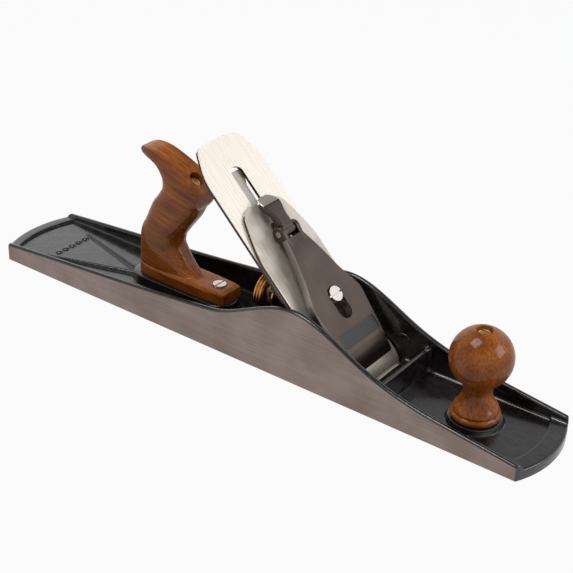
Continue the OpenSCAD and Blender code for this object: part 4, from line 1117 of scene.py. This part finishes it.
class DressHandles(bpy.types.Operator):
    """Builds the lacquered tote and knob and their nuts"""

    bl_idname = "plane.dress_handles"
    bl_label = "Tote and knob"

    def execute(self, context):
        looks = context.scene.wood_looks
        nut_hole = tilted(pillar(NUT_HOLE, NUT_SEAT, NUT_SEAT + 36), ROD_TILT)
        nut_hole = moved(nut_hole, ROD_START[0], 0, ROD_START[1])
        toe_hole = moved(pillar(TOE_HOLE, TOE_SEAT_Z, TOE_SEAT_Z + 19.6), TOTE_X)
        shell = tote_shell(looks.thickness, looks.square)
        tote = carved(mesh_of(shell), [horn_cutter(), nut_hole, toe_hole])
        wood = lacquered_wood("lacquered tote wood", looks, (0, np.radians(-14), 0))
        piece("handle_rear", [tote], [wood], "plane", "tote", 40)
        turned = lacquered_wood("lacquered knob wood", looks, (0, np.radians(70), 0.3))
        piece("handle_front", [mesh_of(knob_shell())], [turned], "plane", "knob", 40)

        brass = turned_brass("plated nut brass", "#d0a878")
        nut = carved(mesh_of(nut_shell()), [prism(rectangle(-6, 6, -0.65, 0.65, 0.1), 3.9, 7)])
        foot = Matrix.Translation((ROD_START[0] * MM, 0, ROD_START[1] * MM))
        rear = foot @ Matrix.Rotation(ROD_TILT, 4, "Y") @ Matrix.Translation((0, 0, NUT_SEAT * MM))
        front = Matrix.Translation((KNOB_X * MM, 0, (KNOB_Z + KNOB_TOP - NUT_SINK) * MM))
        for name, replaced, place in (("nut_rear", "tote_nut", rear), ("nut_front", "knob_nut", front)):
            placed_nut = nut.copy()
            placed_nut.transform(place)
            piece(name, [placed_nut], [brass], "plane", replaced)
        bpy.data.meshes.remove(nut)
        return {"FINISHED"}


class DressIrons(bpy.types.Operator):
    """Builds the cutting iron and the cap iron"""

    bl_idname = "plane.dress_irons"
    bl_label = "Irons"

    def execute(self, context):
        looks = context.scene.iron_looks
        slots = [stadium(*IRON_SLOT, 5.6), circle(10, (IRON_SLOT[0], 0))]
        cutters = [on_bed(prism(outline, -3, 1)) for outline in slots]
        iron = marked(carved(mesh_of(blade_shell(looks.edge)), cutters), SIDEWAYS, 0.7)
        blade = bright_blade("ground tool steel", looks.blade)
        oxide = plain_steel("oxidised edge of the iron", "#4b423b", 0.45)
        piece("iron_cutting", [iron], [blade, oxide], "iron_unit", "cutting_iron")

        holes = [circle(6.8, (CAP_HOLE_S, 0)), rectangle(*YOKE_SLOT, -3.8, 3.8, 0.5),
                 circle(4.0, (CAP_SCREW_S, 0))]
        cutters = [on_bed(prism(outline, -1, 4)) for outline in holes]
        cap = marked(carved(mesh_of(cap_iron_shell(looks.edge)), cutters), SIDEWAYS, 0.7)
        steel = cap_iron_steel("rolled cap iron steel", looks.cap)
        rusty = plain_steel("rusted edge of the cap iron", "#5e4a3b", 0.5)
        piece("iron_cap", [cap], [steel, rusty], "iron_unit", "cap_iron")
        return {"FINISHED"}


class DressLeverCap(bpy.types.Operator):
    """Builds the lever cap with its keyhole, its bare panel and its ears"""

    bl_idname = "plane.dress_lever_cap"
    bl_label = "Lever cap"

    def execute(self, context):
        looks = context.scene.iron_looks
        low_end, high_end, above = LEVER_HALF[0][0], LEVER_HALF[-1][0], LEVER_FACE + 2
        s = stations(low_end, high_end, 110, np.linspace(low_end, 32, 30), [SHOULDER_S])
        plate = slab(s, flowing(LEVER_HALF, s), face(LEVER_LOW), lever_face, looks.edge, shoulder_y(s))
        cutters = [prism(stadium(KEYHOLE_S, SCREW_S, KEY_SLOT_R), 6, above),
                   prism(circle(KEYHOLE_R, (KEYHOLE_S, 0)), 6, above),
                   prism(stadium(KEYHOLE_S, SCREW_S, HEAD_R), LEVER_FACE - 2, above),
                   prism(panel_outline(0), LEVER_FACE - PANEL_DEPTH, above)]
        lever = carved(mesh_of(on_bed(plate)), [on_bed(cutter) for cutter in cutters])
        ears = [mesh_of(on_bed(ear_shell(side))) for side in (1, -1)]
        paint_low, paint_high = LEVER_FACE - PANEL_DEPTH - 0.1, LEVER_FACE - PANEL_DEPTH + 0.05
        panel = mesh_of(on_bed(prism(panel_outline(0.1), paint_low, paint_high)), 1)
        scratches = (22.0, 0.6, 0.6)
        satin = ground_iron("satin ground lever cap iron", looks.lever, BED_TURN, 0.34, scratches, 0.1)
        black = japanned_iron("black panel enamel", "#120f0e", 0.3, coat=0.0)
        flank = ground_iron("ground lever cap flank", "#9a918c", BED_TURN, 0.4, scratches, 0.1)
        meshes = [marked(lever, SIDEWAYS, 0.45, 2), *ears, panel]
        cap = piece("cap_lever", meshes, [satin, black, flank], "lever_cap_unit", "lever_cap")
        ease = cap.modifiers.new("eased edges", "BEVEL")
        ease.width = 0.35 * MM
        ease.segments = 2
        ease.limit_method = "ANGLE"
        ease.angle_limit = np.radians(30)
        return {"FINISHED"}


class DressCamLever(bpy.types.Operator):
    """Builds the cam lever that locks the lever cap"""

    bl_idname = "plane.dress_cam_lever"
    bl_label = "Cam lever"

    def execute(self, context):
        looks = context.scene.iron_looks
        thumb = marked(mesh_of(cam_shell()), UP_BED, 0.3)
        hub_outline = stadium(7.8, 8.8, 4.2, CAM_PIN[0])[:, ::-1]
        hub = swapped(loft(hub_outline, rounded_levels(-5.5, 5.5, 0.4)), [0, 2, 1])
        scratches = (10.0, 0.8, 0.8)
        polished = ground_iron("polished cam iron", looks.lever, BED_TURN, 0.2, scratches, 0.08)
        tip = ground_iron("bright cam tip", "#c9c2bb", BED_TURN, 0.3, scratches, 0.08)
        meshes = [thumb, mesh_of(on_bed(hub))]
        piece("cam_thumb", meshes, [polished, tip], "cam_unit", "cam_lever")
        return {"FINISHED"}


class DressWheel(bpy.types.Operator):
    """Builds the ridged brass depth wheel"""

    bl_idname = "plane.dress_wheel"
    bl_label = "Depth wheel"

    def execute(self, context):
        brass = turned_brass("turned brass", context.scene.iron_looks.brass)
        piece("wheel_depth", [mesh_of(wheel_shell())], [brass], "depth_wheel_unit", "depth_wheel")
        return {"FINISHED"}


class DressFittings(bpy.types.Operator):
    """Gives every kept CAD piece its finish"""

    bl_idname = "plane.dress_fittings"
    bl_label = "Fittings"

    def execute(self, context):
        casting = context.scene.casting_looks
        japan = japanned_iron("japanned frog iron", casting.japan, casting.gloss)
        steel = plain_steel("turned screw steel", "#d3cec7", 0.22)
        dull = plain_steel("stamped lever steel", "#b5aea6", 0.36)
        spring = plain_steel("spring steel", "#b9b2a8", 0.3)
        black = plain_steel("blackened steel", "#4a4643", 0.45)
        finishes = {
            japan: ["frog"],
            steel: ["frog_screws", "frog_washers", "frog_adjusting_screw", "frog_plate_screw",
                    "lateral_pivot_rivet", "yoke_pivot_pin", "depth_stud", "lever_cap_screw",
                    "cap_iron_screw", "spring_rivet", "cam_pivot_pin", "tote_rod", "knob_rod",
                    "lateral_disc", "tote_toe_screw"],
            dull: ["lateral_lever", "depth_yoke"],
            spring: ["lever_cap_spring"],
            black: ["frog_adjusting_plate"],
        }
        for finish, nodes in finishes.items():
            for name in nodes:
                dress(name, finish)
        return {"FINISHED"}


class SetStage(bpy.types.Operator):
    """Sets the camera, the floor, the light and the white background"""

    bl_idname = "plane.set_stage"
    bl_label = "Stage"

    def execute(self, context):
        looks = context.scene.stage_looks
        context.scene.view_settings.view_transform = "Standard"
        context.scene.camera = camera_of_photo()
        context.scene.world = studio_world(looks.sky)

        sheet = bpy.data.meshes.new("floor")
        corners = [(-FLOOR, -FLOOR, 0), (FLOOR, -FLOOR, 0), (FLOOR, FLOOR, 0), (-FLOOR, FLOOR, 0)]
        sheet.from_pydata(corners, [], [(0, 1, 2, 3)])
        sheet.materials.append(white_floor("white floor", looks.floor))
        linked("floor", sheet)

        for name, place, size, share in LAMPS:
            lamp = bpy.data.lights.new(name, "AREA")
            lamp.size = size
            lamp.energy = looks.light * share
            away = np.array(place) / np.linalg.norm(place)
            level = np.cross([0, 0, 1], away)
            level /= np.linalg.norm(level)
            linked(name, lamp).matrix_world = standing([level, np.cross(away, level), away], place)
        return {"FINISHED"}


class PlanePanel(bpy.types.Panel):
    """Lists the pieces and their settings"""

    bl_idname = "VIEW3D_PT_fore_plane"
    bl_label = "Fore plane"
    bl_space_type = "VIEW_3D"
    bl_region_type = "UI"
    bl_category = "Fore plane"

    def draw(self, context):
        layout = self.layout
        for name in LOOKS:
            group = getattr(context.scene, name)
            for key in group.bl_rna.properties.keys():
                if key not in ("rna_type", "name"):
                    layout.prop(group, key)
        for operator in OPERATORS:
            layout.operator(operator.bl_idname)


LOOKS = {
    "casting_looks": CastingLooks,
    "iron_looks": IronLooks,
    "wood_looks": WoodLooks,
    "stage_looks": StageLooks,
}
OPERATORS = (DressBody, DressHandles, DressIrons, DressLeverCap, DressCamLever, DressWheel,
             DressFittings, SetStage)


def register():
    """Registers the settings, the operators and the panel."""
    for group in (*LOOKS.values(), *OPERATORS, PlanePanel):
        bpy.utils.register_class(group)
    for name, group in LOOKS.items():
        setattr(bpy.types.Scene, name, bpy.props.PointerProperty(type=group))


def unregister():
    """Takes the settings, the operators and the panel away again."""
    for name in LOOKS:
        delattr(bpy.types.Scene, name)
    for group in reversed((*LOOKS.values(), *OPERATORS, PlanePanel)):
        bpy.utils.unregister_class(group)


def main():
    """Builds every piece and the stage."""
    register()
    for operator in OPERATORS:
        group, name = operator.bl_idname.split(".")
        getattr(getattr(bpy.ops, group), name)()


if __name__ == "__main__":
    main()
